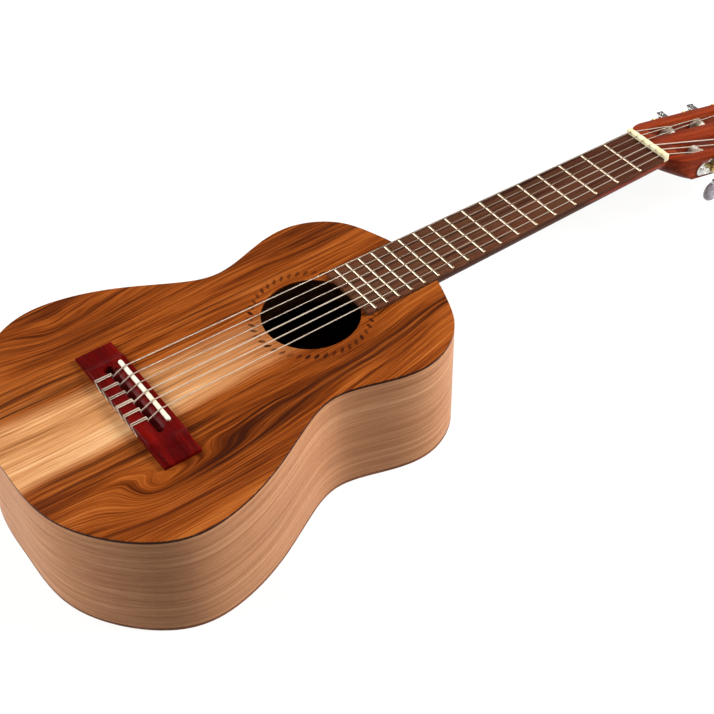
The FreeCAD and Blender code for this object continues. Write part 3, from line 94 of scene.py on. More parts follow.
@dataclass
class Bench:
    """A work surface for laying out the nodes of one material or shared group."""

    tree: bpy.types.NodeTree

    @classmethod
    def cleared(cls, owner: bpy.types.Material | bpy.types.World) -> "Bench":
        """A bench on the emptied nodes of a material or a world."""
        owner.use_nodes = True
        owner.node_tree.nodes.clear()
        return cls(owner.node_tree)

    def put(self, kind: str, *sources: Source, **settings: object) -> bpy.types.Node:
        """Add a shader node, by its type without the prefix, with its first inputs and its attributes."""
        node = self.tree.nodes.new("ShaderNode" + kind)
        for name, value in settings.items():
            setattr(node, name, value)
        self.fill(node, *sources)
        return node

    def feed(self, target: Socket, source: Source) -> None:
        """Link a socket into another, or set a plain value on it."""
        if isinstance(source, bpy.types.NodeSocket):
            self.tree.links.new(source, target)
        else:
            target.default_value = source

    def fill(self, node: bpy.types.Node, *sources: Source) -> None:
        """Feed a node's first inputs in order."""
        for target, source in zip(node.inputs, sources):
            self.feed(target, source)

    def label(self, node: bpy.types.Node, **sources: Source) -> bpy.types.Node:
        """Feed a node's inputs by name, with underscores for spaces."""
        for name, source in sources.items():
            self.feed(node.inputs[name.replace("_", " ")], source)
        return node

    def number(self, operation: str, *values: Source, clamp: bool = False) -> Socket:
        """A Math node's result, held between 0 and 1 if it is clamped."""
        return self.put("Math", *values, operation=operation, use_clamp=clamp).outputs[0]

    def times(self, first: Source, second: Source, clamp: bool = False) -> Socket:
        """One value times another."""
        return self.number("MULTIPLY", first, second, clamp=clamp)

    def less(self, first: Source, second: Source) -> Socket:
        """One value less another."""
        return self.number("SUBTRACT", first, second)

    def times_plus(self, first: Source, second: Source, third: Source) -> Socket:
        """One value times another, plus a third."""
        return self.number("MULTIPLY_ADD", first, second, third)

    def away(self, value: Source, middle: float, reach: float) -> Socket:
        """How far a value lies from a middle, in reaches. Middle and reach are in millimetres."""
        return self.number("DIVIDE", self.less(value, middle * MM), reach * MM)

    def bell(self, parts: Iterable[Source], fall: float = 1) -> Socket:
        """A bell over distances each way, 1 in its middle."""
        reach: Source = 0.0
        for part in parts:
            reach = self.times_plus(part, part, reach)
        return self.number("EXPONENT", self.times(reach, -fall))

    def join(self, along: Source, across: Source, upward: Source) -> Socket:
        """A vector made of three values."""
        return self.put("CombineXYZ", along, across, upward).outputs[0]

    def split(self, vector: Socket) -> tuple[Socket, Socket, Socket]:
        """The three values of a vector."""
        x, y, z = self.put("SeparateXYZ", vector).outputs
        return x, y, z

    def noise(self, vector: Socket, scale: Source, detail: float = 3, roughness: float = 0.5,
              distortion: float = 0) -> Socket:
        """A noise's value, mostly between 0.25 and 0.75. Its scale is how many waves it has to a metre."""
        node = self.put("TexNoise")
        return self.label(node, Vector=vector, Scale=scale, Detail=detail, Roughness=roughness,
                          Distortion=distortion).outputs["Fac"]

    def streaks(self, place: tuple[Source, Source], waves: tuple[float, float], layer: float, detail: float,
                roughness: float) -> Socket:
        """Noise at a place along and across the grain, with so many waves to a metre each way."""
        along, across = (self.times(*pair) for pair in zip(place, waves))
        return self.noise(self.join(along, across, layer), 1, detail, roughness)

    def ramp(self, value: Source, stops: Stops) -> Socket:
        """A colour ramp over given stops, each with its place, red, green and blue."""
        node = self.put("ValToRGB", value)
        elements = node.color_ramp.elements
        for element, (place, *colour) in zip(elements, (stops[0], stops[-1])):
            element.position, element.color = place, tint(*colour)
        for place, *colour in stops[1:-1]:
            elements.new(place).color = tint(*colour)
        return node.outputs[0]

    def blend(self, share: Source, first: Source, second: Source) -> Socket:
        """Two colours mixed by a share."""
        node = self.put("Mix", data_type="RGBA")
        for index, source in ((0, share), (6, first), (7, second)):
            self.feed(node.inputs[index], source)
        return node.outputs[2]

    def step(self, value: Source, low: float, high: float, start: float = 0, end: float = 1) -> Socket:
        """A smooth step from one level to another while the value goes from low to high."""
        return self.level(value, low, high, start, end, "SMOOTHSTEP")

    def between(self, value: Source, low: float, high: float, start: float = 0, end: float = 1) -> Socket:
        """A smooth step between two places in millimetres."""
        return self.step(value, low * MM, high * MM, start, end)

    def level(self, value: Source, low: float, high: float, start: float, end: float,
              kind: str = "LINEAR") -> Socket:
        """A map from one range to another, straight unless its kind says otherwise, and held at its ends."""
        return self.put("MapRange", value, low, high, start, end, interpolation_type=kind).outputs[0]

    def bump(self, height: Source, distance: float) -> Socket:
        """A surface normal raised by a height's share of a distance in metres."""
        return self.label(self.put("Bump"), Strength=1, Distance=distance, Height=height).outputs["Normal"]

    def place(self) -> Socket:
        """The point in the row frame, in metres."""
        return self.put("TexCoord").outputs["Object"]

    def shaders(self, share: Source, first: bpy.types.Node, second: bpy.types.Node) -> Socket:
        """Two shaders mixed by a share."""
        return self.put("MixShader", share, first.outputs[0], second.outputs[0]).outputs[0]

    def group(self, tree: bpy.types.NodeTree, **values: Source) -> bpy.types.Node:
        """A shared effect placed with this material's own values, by their names in the group."""
        return self.label(self.put("Group", node_tree=tree), **values)


def shared_tree(name: str, takes: Sequence[str],
                gives: Sequence[str]) -> tuple[Bench, Sequence[Socket], bpy.types.Node]:
    """Start a node group that reads a vector and some values and gives values.

    Args:
        name: The group's name.
        takes: The names of the values that it reads.
        gives: The names of the values that it gives.

    Returns:
        The bench, the inputs' sockets with the vector first, and the node that takes the outputs.
    """
    tree = bpy.data.node_groups.new(name, "ShaderNodeTree")
    tree.interface.new_socket("Vector", in_out="INPUT", socket_type="NodeSocketVector")
    for way, labels in (("INPUT", takes), ("OUTPUT", gives)):
        for label in labels:
            tree.interface.new_socket(label, in_out=way, socket_type="NodeSocketFloat")
    start, end = tree.nodes.new("NodeGroupInput"), tree.nodes.new("NodeGroupOutput")
    return Bench(tree), start.outputs[:len(takes) + 1], end


class Effects:
    """Effects that several finishes share, each built once as a node group."""

    def __init__(self) -> None:
        """Build the groups."""
        self.grain = self.build_grain()
        self.handling = self.build_handling()

    @staticmethod
    def build_grain() -> bpy.types.NodeTree:
        """Streaks, fibres and open pores of wood whose grain runs along the vector's X."""
        bench, (place, length, breadth, wander), end = shared_tree(
            "wood_grain", ("Along", "Across", "Wander"), ("Streak", "Fibre", "Pore", "Height"))
        x, y, z = bench.split(place)

        def waves(along: float, across: float, sideways: Source) -> Socket:
            width = bench.times(breadth, across)
            return bench.join(bench.times(bench.times(x, length), along), bench.times(sideways, width),
                              bench.times(z, width))

        drift = bench.less(bench.noise(waves(1.1, 0.16, y), 1, 2), 0.5)
        bent = bench.times_plus(drift, wander, y)
        streak = bench.noise(waves(1, 1, bent), 1, 5, 0.62)
        fibre = bench.noise(waves(5, 11, bent), 1, 3, 0.6)
        pore = bench.step(bench.noise(waves(16, 30, bent), 1, 1), 0.6, 0.74)
        height = bench.less(bench.times(fibre, 0.5), bench.times(pore, 0.6))
        bench.fill(end, streak, fibre, pore, height)
        return bench.tree

    @staticmethod
    def build_handling() -> bpy.types.NodeTree:
        """The uneven gloss that wiping and handling leave, as a roughness."""
        bench, (place, polish, spread), end = shared_tree("handling", ("Polish", "Spread"), ("Roughness",))
        cloud, fine = bench.noise(place, 38, 3, 0.55), bench.noise(place, 420, 2, 0.6)
        uneven = bench.number("ADD", bench.times(cloud, 0.7), bench.times(fine, 0.3))
        swing = bench.times(bench.less(uneven, 0.5), spread)
        bench.fill(end, bench.number("ADD", polish, swing, clamp=True))
        return bench.tree


@dataclass(frozen=True, kw_only=True)
class Finish:
    """A surface finish. Each kind fills in its own look."""

    polish: float = 0.4
    spread: float = 0.25
    coat: float = 0.0
    coat_polish: float = 0.12
    gleam: float = 0.5
    metallic: float = 0.0
    relief: float = 0.05

    def make(self, name: str, effects: Effects) -> bpy.types.Material:
        """Build the material.

        Args:
            name: The material's name.
            effects: The shared node groups.

        Returns:
            The finished material.
        """
        material = bpy.data.materials.new(name)
        bench = Bench.cleared(material)
        shader = bench.put("BsdfPrincipled")
        bench.feed(bench.put("OutputMaterial").inputs["Surface"], shader.outputs[0])
        point = bench.place()
        worn = bench.group(effects.handling, Vector=point, Polish=self.polish, Spread=self.spread)
        colour, height = self.look(bench, point, effects)
        bench.label(shader, Specular_IOR_Level=self.gleam, Metallic=self.metallic, Coat_Weight=self.coat,
                    Coat_Roughness=self.coat_polish, Roughness=worn.outputs["Roughness"],
                    Base_Color=colour, Normal=bench.bump(height, self.relief * MM))
        return material

    def look(self, bench: Bench, point: Socket, effects: Effects) -> Look:
        """Lay out the colour, and the height as a share of the relief."""
        raise NotImplementedError


@dataclass(frozen=True, kw_only=True)
class PlainWood(Finish):
    """Straight-grained wood, stretched and turned to the run of its piece.

    It may have a darker inner face above a level, painted shade for the inside of the box, and a far end that
    darkens between two places, so that the lighter near part is a painted sheen.
    """

    gleam: float = 0.08
    stops: Stops
    along: float
    across: float
    wander: float = 0.02
    turn: tuple[float, float, float] = (0, 0, 0)
    squash: tuple[float, float, float] = (1, 1, 1)
    relief: float = 0.12
    streak_share: float = 0.75
    pore_share: float = 0.45
    pore_colour: Colour = tint(50, 26, 14)
    # The inner face's darker colour is painted shade.
    inner: float | None = None
    inner_shade_share: float = 0.85
    inner_shade_colour: Colour = tint(24, 14, 9)
    # The far end's darker colour leaves the near part lighter as a painted sheen.
    far: tuple[float, float] | None = None
    sheen_fade_share: float = 0.55
    sheen_free_colour: Colour = tint(70, 28, 18)

    def look(self, bench: Bench, point: Socket, effects: Effects) -> Look:
        """Streaks through the stops' colours, with darker pores."""
        turned = bench.label(bench.put("Mapping"), Rotation=[math.radians(angle) for angle in self.turn],
                             Scale=self.squash, Vector=point)
        grain = bench.group(effects.grain, Vector=turned.outputs[0], Along=self.along, Across=self.across,
                            Wander=self.wander).outputs
        tone = bench.number("ADD", bench.times(grain["Streak"], self.streak_share),
                            bench.times(grain["Fibre"], 1 - self.streak_share))
        wood = bench.blend(bench.times(grain["Pore"], self.pore_share), bench.ramp(tone, self.stops),
                           self.pore_colour)
        x, _, z = bench.split(point)
        # Painted shade on the inner face above the level.
        if self.inner is not None:
            inner_shade_mask = bench.between(z, self.inner - 0.2, self.inner, 0, self.inner_shade_share)
            wood = bench.blend(inner_shade_mask, wood, self.inner_shade_colour)
        # Painted sheen: the near part stays lighter and the far end darkens.
        if self.far is not None:
            wood = bench.blend(bench.between(x, *self.far, 0, self.sheen_fade_share), wood, self.sheen_free_colour)
        return wood, grain["Height"]


@dataclass(frozen=True)
class Line:
    """A dark line in the soundboard's figure: where it runs across the grain and along it, in millimetres."""

    across: float
    width: float
    depth: float
    start: float
    end: float


@dataclass(frozen=True)
class Flame:
    """A flame in the figure that the grain bends round: its place and its reach each way, in millimetres."""

    along: float
    across: float
    ahead: float
    behind: float
    width: float
    height: float


@dataclass(frozen=True)
class Patch:
    """A soft patch of darker or, below zero, lighter wood: its middle, its reach and its depth."""

    along: float
    across: float
    length: float
    width: float
    depth: float


@dataclass(frozen=True, kw_only=True)
class FiguredTop(Finish):
    """The soundboard's figured wood, with a pale middle band, dark lines and flames.

    A level gives the soundboard, whose lower edge is dark. Without one it is the ring with its marks. Only
    the hole's centre is in metres.
    """

    polish: float = 0.42
    spread: float = 0.2
    gleam: float = 0.06
    relief: float = 0.06
    hole: tuple[float, float]
    level: float | None = None
    along: float = 4
    across: float = 150
    wander: float = 0.006
    tone_shares: tuple[float, float, float, float] = (0.65, 0.9, 1.05, 1.1)
    pore_share: float = 0.35
    stops: Stops = ((0.14, 60, 22, 5), (0.33, 106, 45, 9), (0.5, 144, 69, 19), (0.66, 168, 88, 32),
                    (0.88, 194, 116, 54))
    pale: Stops = ((0.14, 158, 96, 50), (0.38, 204, 140, 86), (0.6, 224, 162, 106), (0.88, 238, 190, 138))
    line_colour: Colour = tint(58, 22, 8)
    pore_colour: Colour = tint(56, 22, 9)
    edge_colour: Colour = tint(34, 13, 8)
    leaf_colour: Colour = tint(44, 16, 9)
    wave_height: float = 10
    neck_lift: float = -11
    band_upper: tuple[float, float] = (20, 34)
    band_lower: tuple[float, float] = (-31, -19)
    band_fade: tuple[float, float] = (-240, -95)
    band_loss: float = 9
    line_fade: float = 25
    leaves: int = 44
    leaf_ring: float = 41.5
    leaf_reach: float = 2.7
    leaf_slant: float = 0.26
    leaf_width: float = 0.3
    patches: tuple[Patch, ...] = (
        Patch(-268, -76, 66, 22, 0.18), Patch(-50, 62, 60, 40, 0.15), Patch(-345, -62, 40, 34, 0.1),
        Patch(-50, -62, 60, 30, -0.05), Patch(-350, 66, 46, 34, -0.2))
    flames: tuple[Flame, ...] = (
        Flame(-272, -76, 88, 25, 13, 23.5), Flame(-262, 84, 74, 30, 13, 16.5))
    lines: tuple[Line, ...] = (
        Line(-52.4, 1.1, 0.8, -262, -10), Line(-56.8, 1.5, 0.75, -256, -10), Line(-53, 5, 0.3, -258, -14),
        Line(-31, 1.9, 0.8, -345, -235), Line(-36, 1.0, 0.5, -330, -150), Line(-41, 2.0, 0.8, -340, -215),
        Line(-46, 0.9, 0.5, -330, -180), Line(36, 2.2, 0.9, -350, -262), Line(40, 0.9, 0.6, -350, -255),
        Line(45, 2.4, 0.85, -350, -262), Line(50, 0.8, 0.5, -350, -240), Line(54, 1.6, 0.6, -350, -262),
        Line(62, 1.1, 0.5, -350, -270), Line(47, 1.8, 0.5, -215, -90), Line(42, 0.9, 0.5, -225, -110),
        Line(30, 1.1, 0.4, -225, -150), Line(57, 2.2, 0.6, -100, -20), Line(63, 1, 0.5, -110, -20),
        Line(68, 1.6, 0.5, -110, -20), Line(-84, 1.4, 0.5, -330, -215), Line(-96, 1.2, 0.45, -310, -200),
        Line(-66, 1.1, 0.4, -150, -40), Line(78, 1.2, 0.5, -330, -250), Line(96, 1.4, 0.45, -320, -200))

    def figure(self, bench: Bench, x: Socket, y: Socket) -> Socket:
        """The coordinate across the grain, wavy but for the flames that it bends round, in metres."""
        wave = bench.times(bench.less(bench.streaks((x, y), (8, 22), 0, 3, 0.55), 0.5), self.wave_height * MM)
        lift = bench.between(x, -115, -25, 0, self.neck_lift * MM)
        bent = bench.times_plus(lift, bench.between(y, -20, 10, 1, 0), y)
        for flame in self.flames:
            ahead = bench.number("MAXIMUM", bench.away(x, flame.along, flame.ahead), 0)
            behind = bench.number("MINIMUM", bench.away(x, flame.along, flame.behind), 0)
            crest = bench.bell((bench.away(y, flame.across, flame.width), ahead, behind), 0.5)
            bent = bench.times_plus(crest, flame.height * MM, bent)
            wave = bench.times(wave, bench.less(1, bench.times(crest, 0.75)))
        return bench.number("ADD", bent, wave)

    def dark_lines(self, bench: Bench, x: Socket, bent: Socket) -> Socket:
        """How dark the drawn lines make each point."""
        total: Source = 0.0
        for line in self.lines:
            core = bench.bell([bench.away(bent, line.across, line.width)])
            begun = bench.step(bench.away(x, line.start, self.line_fade), -1, 1)
            ended = bench.step(bench.away(x, line.end, self.line_fade), -1, 1, 1, 0)
            total = bench.times_plus(bench.times(core, line.depth), bench.times(begun, ended), total)
        return total

    def band(self, bench: Bench, x: Socket, bent: Socket, veins: Socket) -> Socket:
        """The pale band's strength: its edges across the grain, its fading to the neck and its streaks."""
        narrowed = bench.times_plus(bench.between(x, -275, -215), self.band_loss * MM, bent)
        upper = bench.between(narrowed, *self.band_upper, 1, 0)
        lower = bench.between(bent, *self.band_lower)
        strength = bench.between(x, *self.band_fade, 0.97, 0.0)
        streaky = bench.level(veins, 0.3, 0.6, 0.6, 1.05)
        return bench.times(bench.times(upper, lower), bench.times(strength, streaky), clamp=True)

    def look(self, bench: Bench, point: Socket, effects: Effects) -> Look:
        """Bend the grain, lay the pale band and the lines, and add the ring's marks where they belong."""
        x, y, z = bench.split(point)
        bent = self.figure(bench, x, y)
        grain = bench.group(effects.grain, Vector=bench.join(x, bent, 0), Along=self.along,
                            Across=self.across, Wander=self.wander).outputs
        veins = bench.streaks((x, bent), (10, 560), 7, 4, 0.6)
        zones = bench.streaks((x, bent), (5, 30), 3, 2, 0.5)
        tone: Source = 0.5
        for source, share in zip((grain["Streak"], veins, grain["Fibre"], zones), self.tone_shares):
            tone = bench.times_plus(bench.less(source, 0.5), share, tone)
        for patch in self.patches:
            soft = bench.bell((bench.away(y, patch.across, patch.width),
                               bench.away(x, patch.along, patch.length)))
            tone = bench.times_plus(soft, -patch.depth, tone)
        wood = bench.blend(self.band(bench, x, bent, veins), bench.ramp(tone, self.stops),
                           bench.ramp(tone, self.pale))
        drawn = bench.times(self.dark_lines(bench, x, bent), bench.level(veins, 0.35, 0.65, 1.2, 0.55),
                            clamp=True)
        wood = bench.blend(drawn, wood, self.line_colour)
        wood = bench.blend(bench.times(grain["Pore"], self.pore_share), wood, self.pore_colour)
        if self.level is None:
            wood = bench.blend(self.marks(bench, x, y), wood, self.leaf_colour)
        else:
            below = bench.between(z, self.level - 0.55, self.level - 0.3, 0.92, 0)
            wood = bench.blend(below, wood, self.edge_colour)
        return wood, grain["Height"]

    def marks(self, bench: Bench, x: Socket, y: Socket) -> Socket:
        """Slanting leaves let into the ring, uneven as cut by hand."""
        ahead, aside = bench.less(x, self.hole[0]), bench.less(y, self.hole[1])
        radius = bench.number("SQRT", bench.times_plus(ahead, ahead, bench.times(aside, aside)))
        across = bench.away(radius, self.leaf_ring, self.leaf_reach)
        angle = bench.number("ARCTAN2", aside, ahead)
        turn = bench.times_plus(across, self.leaf_slant, bench.times(angle, self.leaves / math.tau))
        middle = bench.number("ABSOLUTE", bench.less(bench.number("FRACT", turn), 0.5))
        leaf = bench.times_plus(across, across, bench.number("DIVIDE", middle, self.leaf_width))
        uneven = bench.level(bench.noise(bench.join(x, y, 0), 70, 2), 0.35, 0.65, 0.45, 0.95)
        return bench.times(bench.step(leaf, 0.6, 1.1, 1, 0), uneven)


@dataclass(frozen=True, kw_only=True)
class Metal(Finish):
    """Plated or plain metal with brushing along one axis."""

    metallic: float = 1.0
    relief: float = 0.012
    base: Colour
    dull: Colour
    brush: tuple[float, float, float] = (60, 1400, 1400)
    end_colour: Colour | None = None

    def look(self, bench: Bench, point: Socket, effects: Effects) -> Look:
        """Fine lines and a little tarnish."""
        brushed = bench.put("VectorMath", point, self.brush, operation="MULTIPLY")
        lines = bench.noise(brushed.outputs[0], 1, 2, 0.5)
        tarnish = bench.step(bench.noise(point, 160, 3, 0.6), 0.45, 0.75)
        shade = bench.number("ADD", bench.times(tarnish, 0.55), bench.times(lines, 0.2))
        metal = bench.blend(shade, self.base, self.dull)
        if self.end_colour is not None:
            sideways = bench.number("ABSOLUTE", bench.split(bench.put("TexCoord").outputs["Normal"])[1])
            metal = bench.blend(bench.step(sideways, 0.25, 0.6, 0, 0.8), metal, self.end_colour)
        return metal, lines


def painted_board_shade(bench: Bench, point: Socket, colour: Source, dull: Source) -> Socket:
    """A string's colour, darker between the end of the fingerboard and the nut: painted shade over the board,
    which leaves the run over the body lighter as a painted highlight.
    """
    along = bench.split(point)[0]
    # Painted shade on the strings over the fingerboard, which eases off past the nut.
    board_shade_share = bench.between(along, -100, -30, 0, 0.85)
    beyond_nut_share = bench.between(along, 188, 193, 1, 0.5)
    return bench.blend(bench.times(board_shade_share, beyond_nut_share), colour, dull)


@dataclass(frozen=True, kw_only=True)
class Moulded(Finish):
    """Bone, nylon or moulded plastic: a nearly even colour with soft clouds in it."""

    polish: float = 0.3
    relief: float = 0.01
    base: Colour
    cloud: Colour
    # The dull colour is a string's painted shade over the fingerboard.
    dull: Colour | None = None

    def look(self, bench: Bench, point: Socket, effects: Effects) -> Look:
        """Soft clouds and a faint skin."""
        clouds = bench.step(bench.noise(point, 120, 4, 0.6), 0.35, 0.7)
        colour = bench.blend(clouds, self.base, self.cloud)
        # Painted shade over the fingerboard for the nylon strings.
        if self.dull is not None:
            colour = painted_board_shade(bench, point, colour, self.dull)
        return colour, bench.noise(point, 2600, 2)


@dataclass(frozen=True, kw_only=True)
class Pearl(Finish):
    """Pearloid: folded sheets of grey, mauve and white under a clear skin."""

    stops: Stops = ((0.3, 146, 134, 146), (0.45, 178, 168, 178), (0.55, 206, 198, 204),
                    (0.66, 164, 152, 166), (0.78, 196, 190, 196))

    def look(self, bench: Bench, point: Socket, effects: Effects) -> Look:
        """Folded layers that shift in tone."""
        fold = bench.noise(point, 120, 3, 0.45, 1.6)
        return bench.ramp(fold, self.stops), fold


@dataclass(frozen=True, kw_only=True)
class WoundWire(Finish):
    """Fine silvered wire wound round a string, following the string's own length."""

    polish: float = 0.34
    spread: float = 0.1
    metallic: float = 0.85
    turns: float = 2800
    base: Colour = tint(204, 188, 170)
    groove: Colour = tint(112, 96, 82)
    # The dull colour is the wound strings' painted shade over the fingerboard.
    dull: Colour = tint(120, 100, 84)

    def look(self, bench: Bench, point: Socket, effects: Effects) -> Look:
        """A screw of ridges from the string's map, whose U is the length along it in metres."""
        along, around, _ = bench.split(bench.put("TexCoord").outputs["UV"])
        screw = bench.times_plus(along, self.turns, around)
        ridge = bench.number("ABSOLUTE", bench.number("SINE", bench.times(screw, math.pi)))
        wire = bench.blend(bench.number("POWER", ridge, 0.5), self.groove, self.base)
        # Painted shade over the fingerboard.
        return painted_board_shade(bench, point, wire, self.dull), ridge


class Hue(Enum):
    """The finishes by name, so that every piece names its own."""

    TOP = "figured_top"
    RING = "ring_inlay"
    SIDES = "walnut_sides"
    BACK = "walnut_back"
    INSIDE = "inside_wood_painted_shade"
    NECK = "neck_wood"
    HEAD = "head_wood"
    BOARD = "board_wood"
    BRIDGE = "bridge_wood"
    BONE = "bone"
    NUT = "cream_nut"
    FRET = "fret_wire"
    NYLON = "nylon"
    WOUND = "wound_string"
    PLATE = "nickel_plate"
    SCREW = "nickel_screw"
    WORM = "worm_steel"
    BRASS = "gear_brass"
    ROLLER = "roller_white"
    PEARL = "pearl_button"


class Finishes:
    """Every finish of the instrument, built once."""

    def __init__(self, hole: Vector) -> None:
        """Build the materials.

        Args:
            hole: The sound hole's centre at the top's level, in metres.
        """
        effects = Effects()
        centre = (hole.x, hole.y)
        kinds: dict[Hue, Finish] = {
            Hue.TOP: FiguredTop(hole=centre, level=hole.z / MM),
            Hue.RING: FiguredTop(hole=centre),
            Hue.SIDES: PlainWood(
                polish=0.45, along=3, across=340, wander=0.004, turn=(90, 0, 0), squash=(1, 0.05, 1),
                stops=((0.28, 152, 94, 60), (0.42, 190, 130, 90), (0.55, 209, 149, 107),
                       (0.72, 232, 177, 132))),
            # The back's inner face is painted dark: painted shade inside the box.
            Hue.BACK: PlainWood(
                polish=0.42, along=4, across=90, wander=0.03, inner=2.2,
                stops=((0.3, 92, 50, 32), (0.45, 134, 82, 56), (0.58, 162, 106, 76), (0.72, 188, 134, 100))),
            # The inside wood's dark stops are painted shade for the closed box, darker than the raw wood.
            Hue.INSIDE: PlainWood(
                polish=0.8, spread=0.1, along=6, across=160,
                stops=((0.3, 46, 28, 16), (0.5, 66, 42, 26), (0.7, 84, 56, 36))),
            Hue.NECK: PlainWood(
                polish=0.46, along=6, across=190,
                stops=((0.3, 46, 20, 11), (0.5, 72, 35, 19), (0.7, 96, 50, 30))),
            Hue.HEAD: PlainWood(
                along=8, across=200, turn=(0, -12, 0),
                stops=((0.3, 80, 20, 4), (0.45, 118, 36, 8), (0.58, 144, 52, 17), (0.72, 174, 80, 34))),
            # The board is lighter towards the body, a painted sheen, and darker towards the nut.
            Hue.BOARD: PlainWood(
                polish=0.5, along=7, across=330, wander=0.004, relief=0.2, far=(20, 190),
                stops=((0.36, 38, 18, 12), (0.45, 74, 43, 28), (0.52, 106, 69, 47), (0.58, 92, 42, 25),
                       (0.68, 136, 97, 70))),
            Hue.BRIDGE: PlainWood(
                polish=0.34, along=10, across=200, turn=(0, 0, 90), pore_colour=tint(34, 1, 1),
                stops=((0.3, 60, 1, 1), (0.5, 92, 3, 2), (0.7, 128, 14, 8))),
            Hue.BONE: Moulded(base=tint(250, 244, 226), cloud=tint(240, 230, 204)),
            Hue.NUT: Moulded(polish=0.32, base=tint(250, 240, 200), cloud=tint(242, 226, 170)),
            # The nylon strings' dull colour is painted shade over the fingerboard.
            Hue.NYLON: Moulded(base=tint(218, 200, 178), cloud=tint(196, 178, 156), dull=tint(136, 112, 92)),
            Hue.ROLLER: Moulded(base=tint(236, 228, 214), cloud=tint(220, 208, 190)),
            Hue.WOUND: WoundWire(),
            Hue.FRET: Metal(polish=0.36, spread=0.12, base=tint(228, 208, 182), dull=tint(196, 174, 146),
                            brush=(1400, 60, 1400), end_colour=tint(96, 80, 62)),
            Hue.PLATE: Metal(polish=0.28, base=tint(222, 220, 216), dull=tint(170, 166, 160)),
            Hue.SCREW: Metal(polish=0.24, base=tint(206, 204, 200), dull=tint(140, 136, 130)),
            Hue.WORM: Metal(polish=0.24, base=tint(196, 196, 194), dull=tint(120, 118, 114)),
            Hue.BRASS: Metal(polish=0.34, base=tint(196, 168, 104), dull=tint(120, 104, 70)),
            Hue.PEARL: Pearl(polish=0.24, coat=0.3),
        }
        self.materials = {hue: finish.make(hue.value, effects) for hue, finish in kinds.items()}

    def dress(self, piece: bpy.types.Object, hue: Hue) -> None:
        """Give a piece or a carried-over CAD node one finish."""
        piece.data.materials.clear()
        piece.data.materials.append(self.materials[hue])


def put_in_scene(name: str, data: bpy.types.ID) -> bpy.types.Object:
    """A new object of the scene around its data."""
    piece = bpy.data.objects.new(name, data)
    bpy.context.scene.collection.objects.link(piece)
    return piece


def pick(piece: bpy.types.Object) -> None:
    """Deselect everything and make one piece the selected, active one."""
    bpy.ops.object.select_all(action="DESELECT")
    piece.select_set(True)
    bpy.context.view_layer.objects.active = piece


def bevel(piece: bpy.types.Object, width: float, segments: int, angle: float) -> None:
    """Round the active piece's edges from an angle on, in millimetres and degrees."""
    rounding = piece.modifiers.new("rounding", "BEVEL")
    rounding.width = width * MM
    rounding.segments = segments
    rounding.limit_method = "ANGLE"
    rounding.angle_limit = math.radians(angle)
    bpy.ops.object.modifier_apply(modifier=rounding.name)


@dataclass
class Workshop:
    """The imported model, its finishes and the joinery that several sub-assemblies use."""

    frame: dict
    finishes: Finishes

    def carry(self, names: Iterable[str], hue: Hue) -> None:
        """Keep CAD nodes as they are, with a finish of their own."""
        for name in names:
            self.finishes.dress(self.frame["nodes"][name], hue)

    def settle(self, piece: bpy.types.Object, nodes: Iterable[str], hue: Hue, slot: str, body: str) -> None:
        """Dress a finished piece, let it ride on its body and stand for its CAD nodes.

        Args:
            piece: The piece, with its place in its mesh.
            nodes: The CAD nodes that it stands for.
            hue: Its finish.
            slot: The record's material slot; not used.
            body: The CAD body that it moves with.
        """
        self.finishes.dress(piece, hue)
        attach(piece, body)
        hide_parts(*nodes)
        log.info("%s rides on %s", piece.name, body)

    def ease(self, name: str, width: float, hue: Hue, slot: str, segments: int = 2) -> None:
        """Make a copy of a CAD node with its hard edges eased, which stands for the node.

        Args:
            name: The CAD node.
            width: How wide the eased edge is, in millimetres.
            hue: Its finish.
            slot: The record's material slot; not used.
            segments: How many steps the rounding has.
        """
        node = self.frame["nodes"][name]
        piece = put_in_scene(name + "_eased", node.data.copy())
        pick(piece)
        bpy.ops.object.mode_set(mode="EDIT")
        bpy.ops.mesh.select_all(action="SELECT")
        bpy.ops.mesh.remove_doubles(threshold=0.004 * MM)
        bpy.ops.mesh.dissolve_limited(angle_limit=math.radians(0.4))
        bpy.ops.object.mode_set(mode="OBJECT")
        bpy.ops.mesh.customdata_custom_splitnormals_clear()
        bevel(piece, width, segments, 38)
        bpy.ops.object.shade_smooth_by_angle(angle=math.radians(32))
        self.settle(piece, [name], hue, slot, node["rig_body"])


@dataclass
class SoundBox:
    """The body: top with its ring, sides, back and what is glued inside."""

    shop: Workshop
    plate_edge: float = 0.5

    def build(self) -> None:
        """Dress the box."""
        shop = self.shop
        shop.ease("soundboard", self.plate_edge, Hue.TOP, "top_wood")
        shop.ease("back", self.plate_edge, Hue.BACK, "body_wood")
        shop.carry(["rosette"], Hue.RING)
        shop.carry(["bass_side", "treble_side"], Hue.SIDES)
        # The inside pieces take the dark inside finish, which is painted shade.
        shop.carry(["neck_block", "tail_block", "top_linings", "back_linings", "cross_braces", "fan_braces",
                    "bridge_plate", "back_braces", "back_strip"], Hue.INSIDE)


@dataclass
class Neck:
    """Neck, head, fingerboard, frets and nut."""

    shop: Workshop
    head_edge: float = 0.9
    board_edge: float = 0.35
    nut_edge: float = 0.2

    def build(self) -> None:
        """Dress the neck from the heel to the head."""
        shop = self.shop
        shop.carry(["neck"], Hue.NECK)
        shop.ease("headstock", self.head_edge, Hue.HEAD, "head_wood", 3)
        shop.ease("fingerboard", self.board_edge, Hue.BOARD, "board_wood")
        shop.carry(["frets"], Hue.FRET)
        shop.ease("nut", self.nut_edge, Hue.NUT, "bone")


@dataclass
class Bridge:
    """The tie-block bridge and its saddle."""

    shop: Workshop
    wood_edge: float = 0.35
    bone_edge: float = 0.15

    def build(self) -> None:
        """Dress the bridge."""
        self.shop.ease("bridge", self.wood_edge, Hue.BRIDGE, "bridge_wood")
        self.shop.ease("saddle", self.bone_edge, Hue.BONE, "bone")


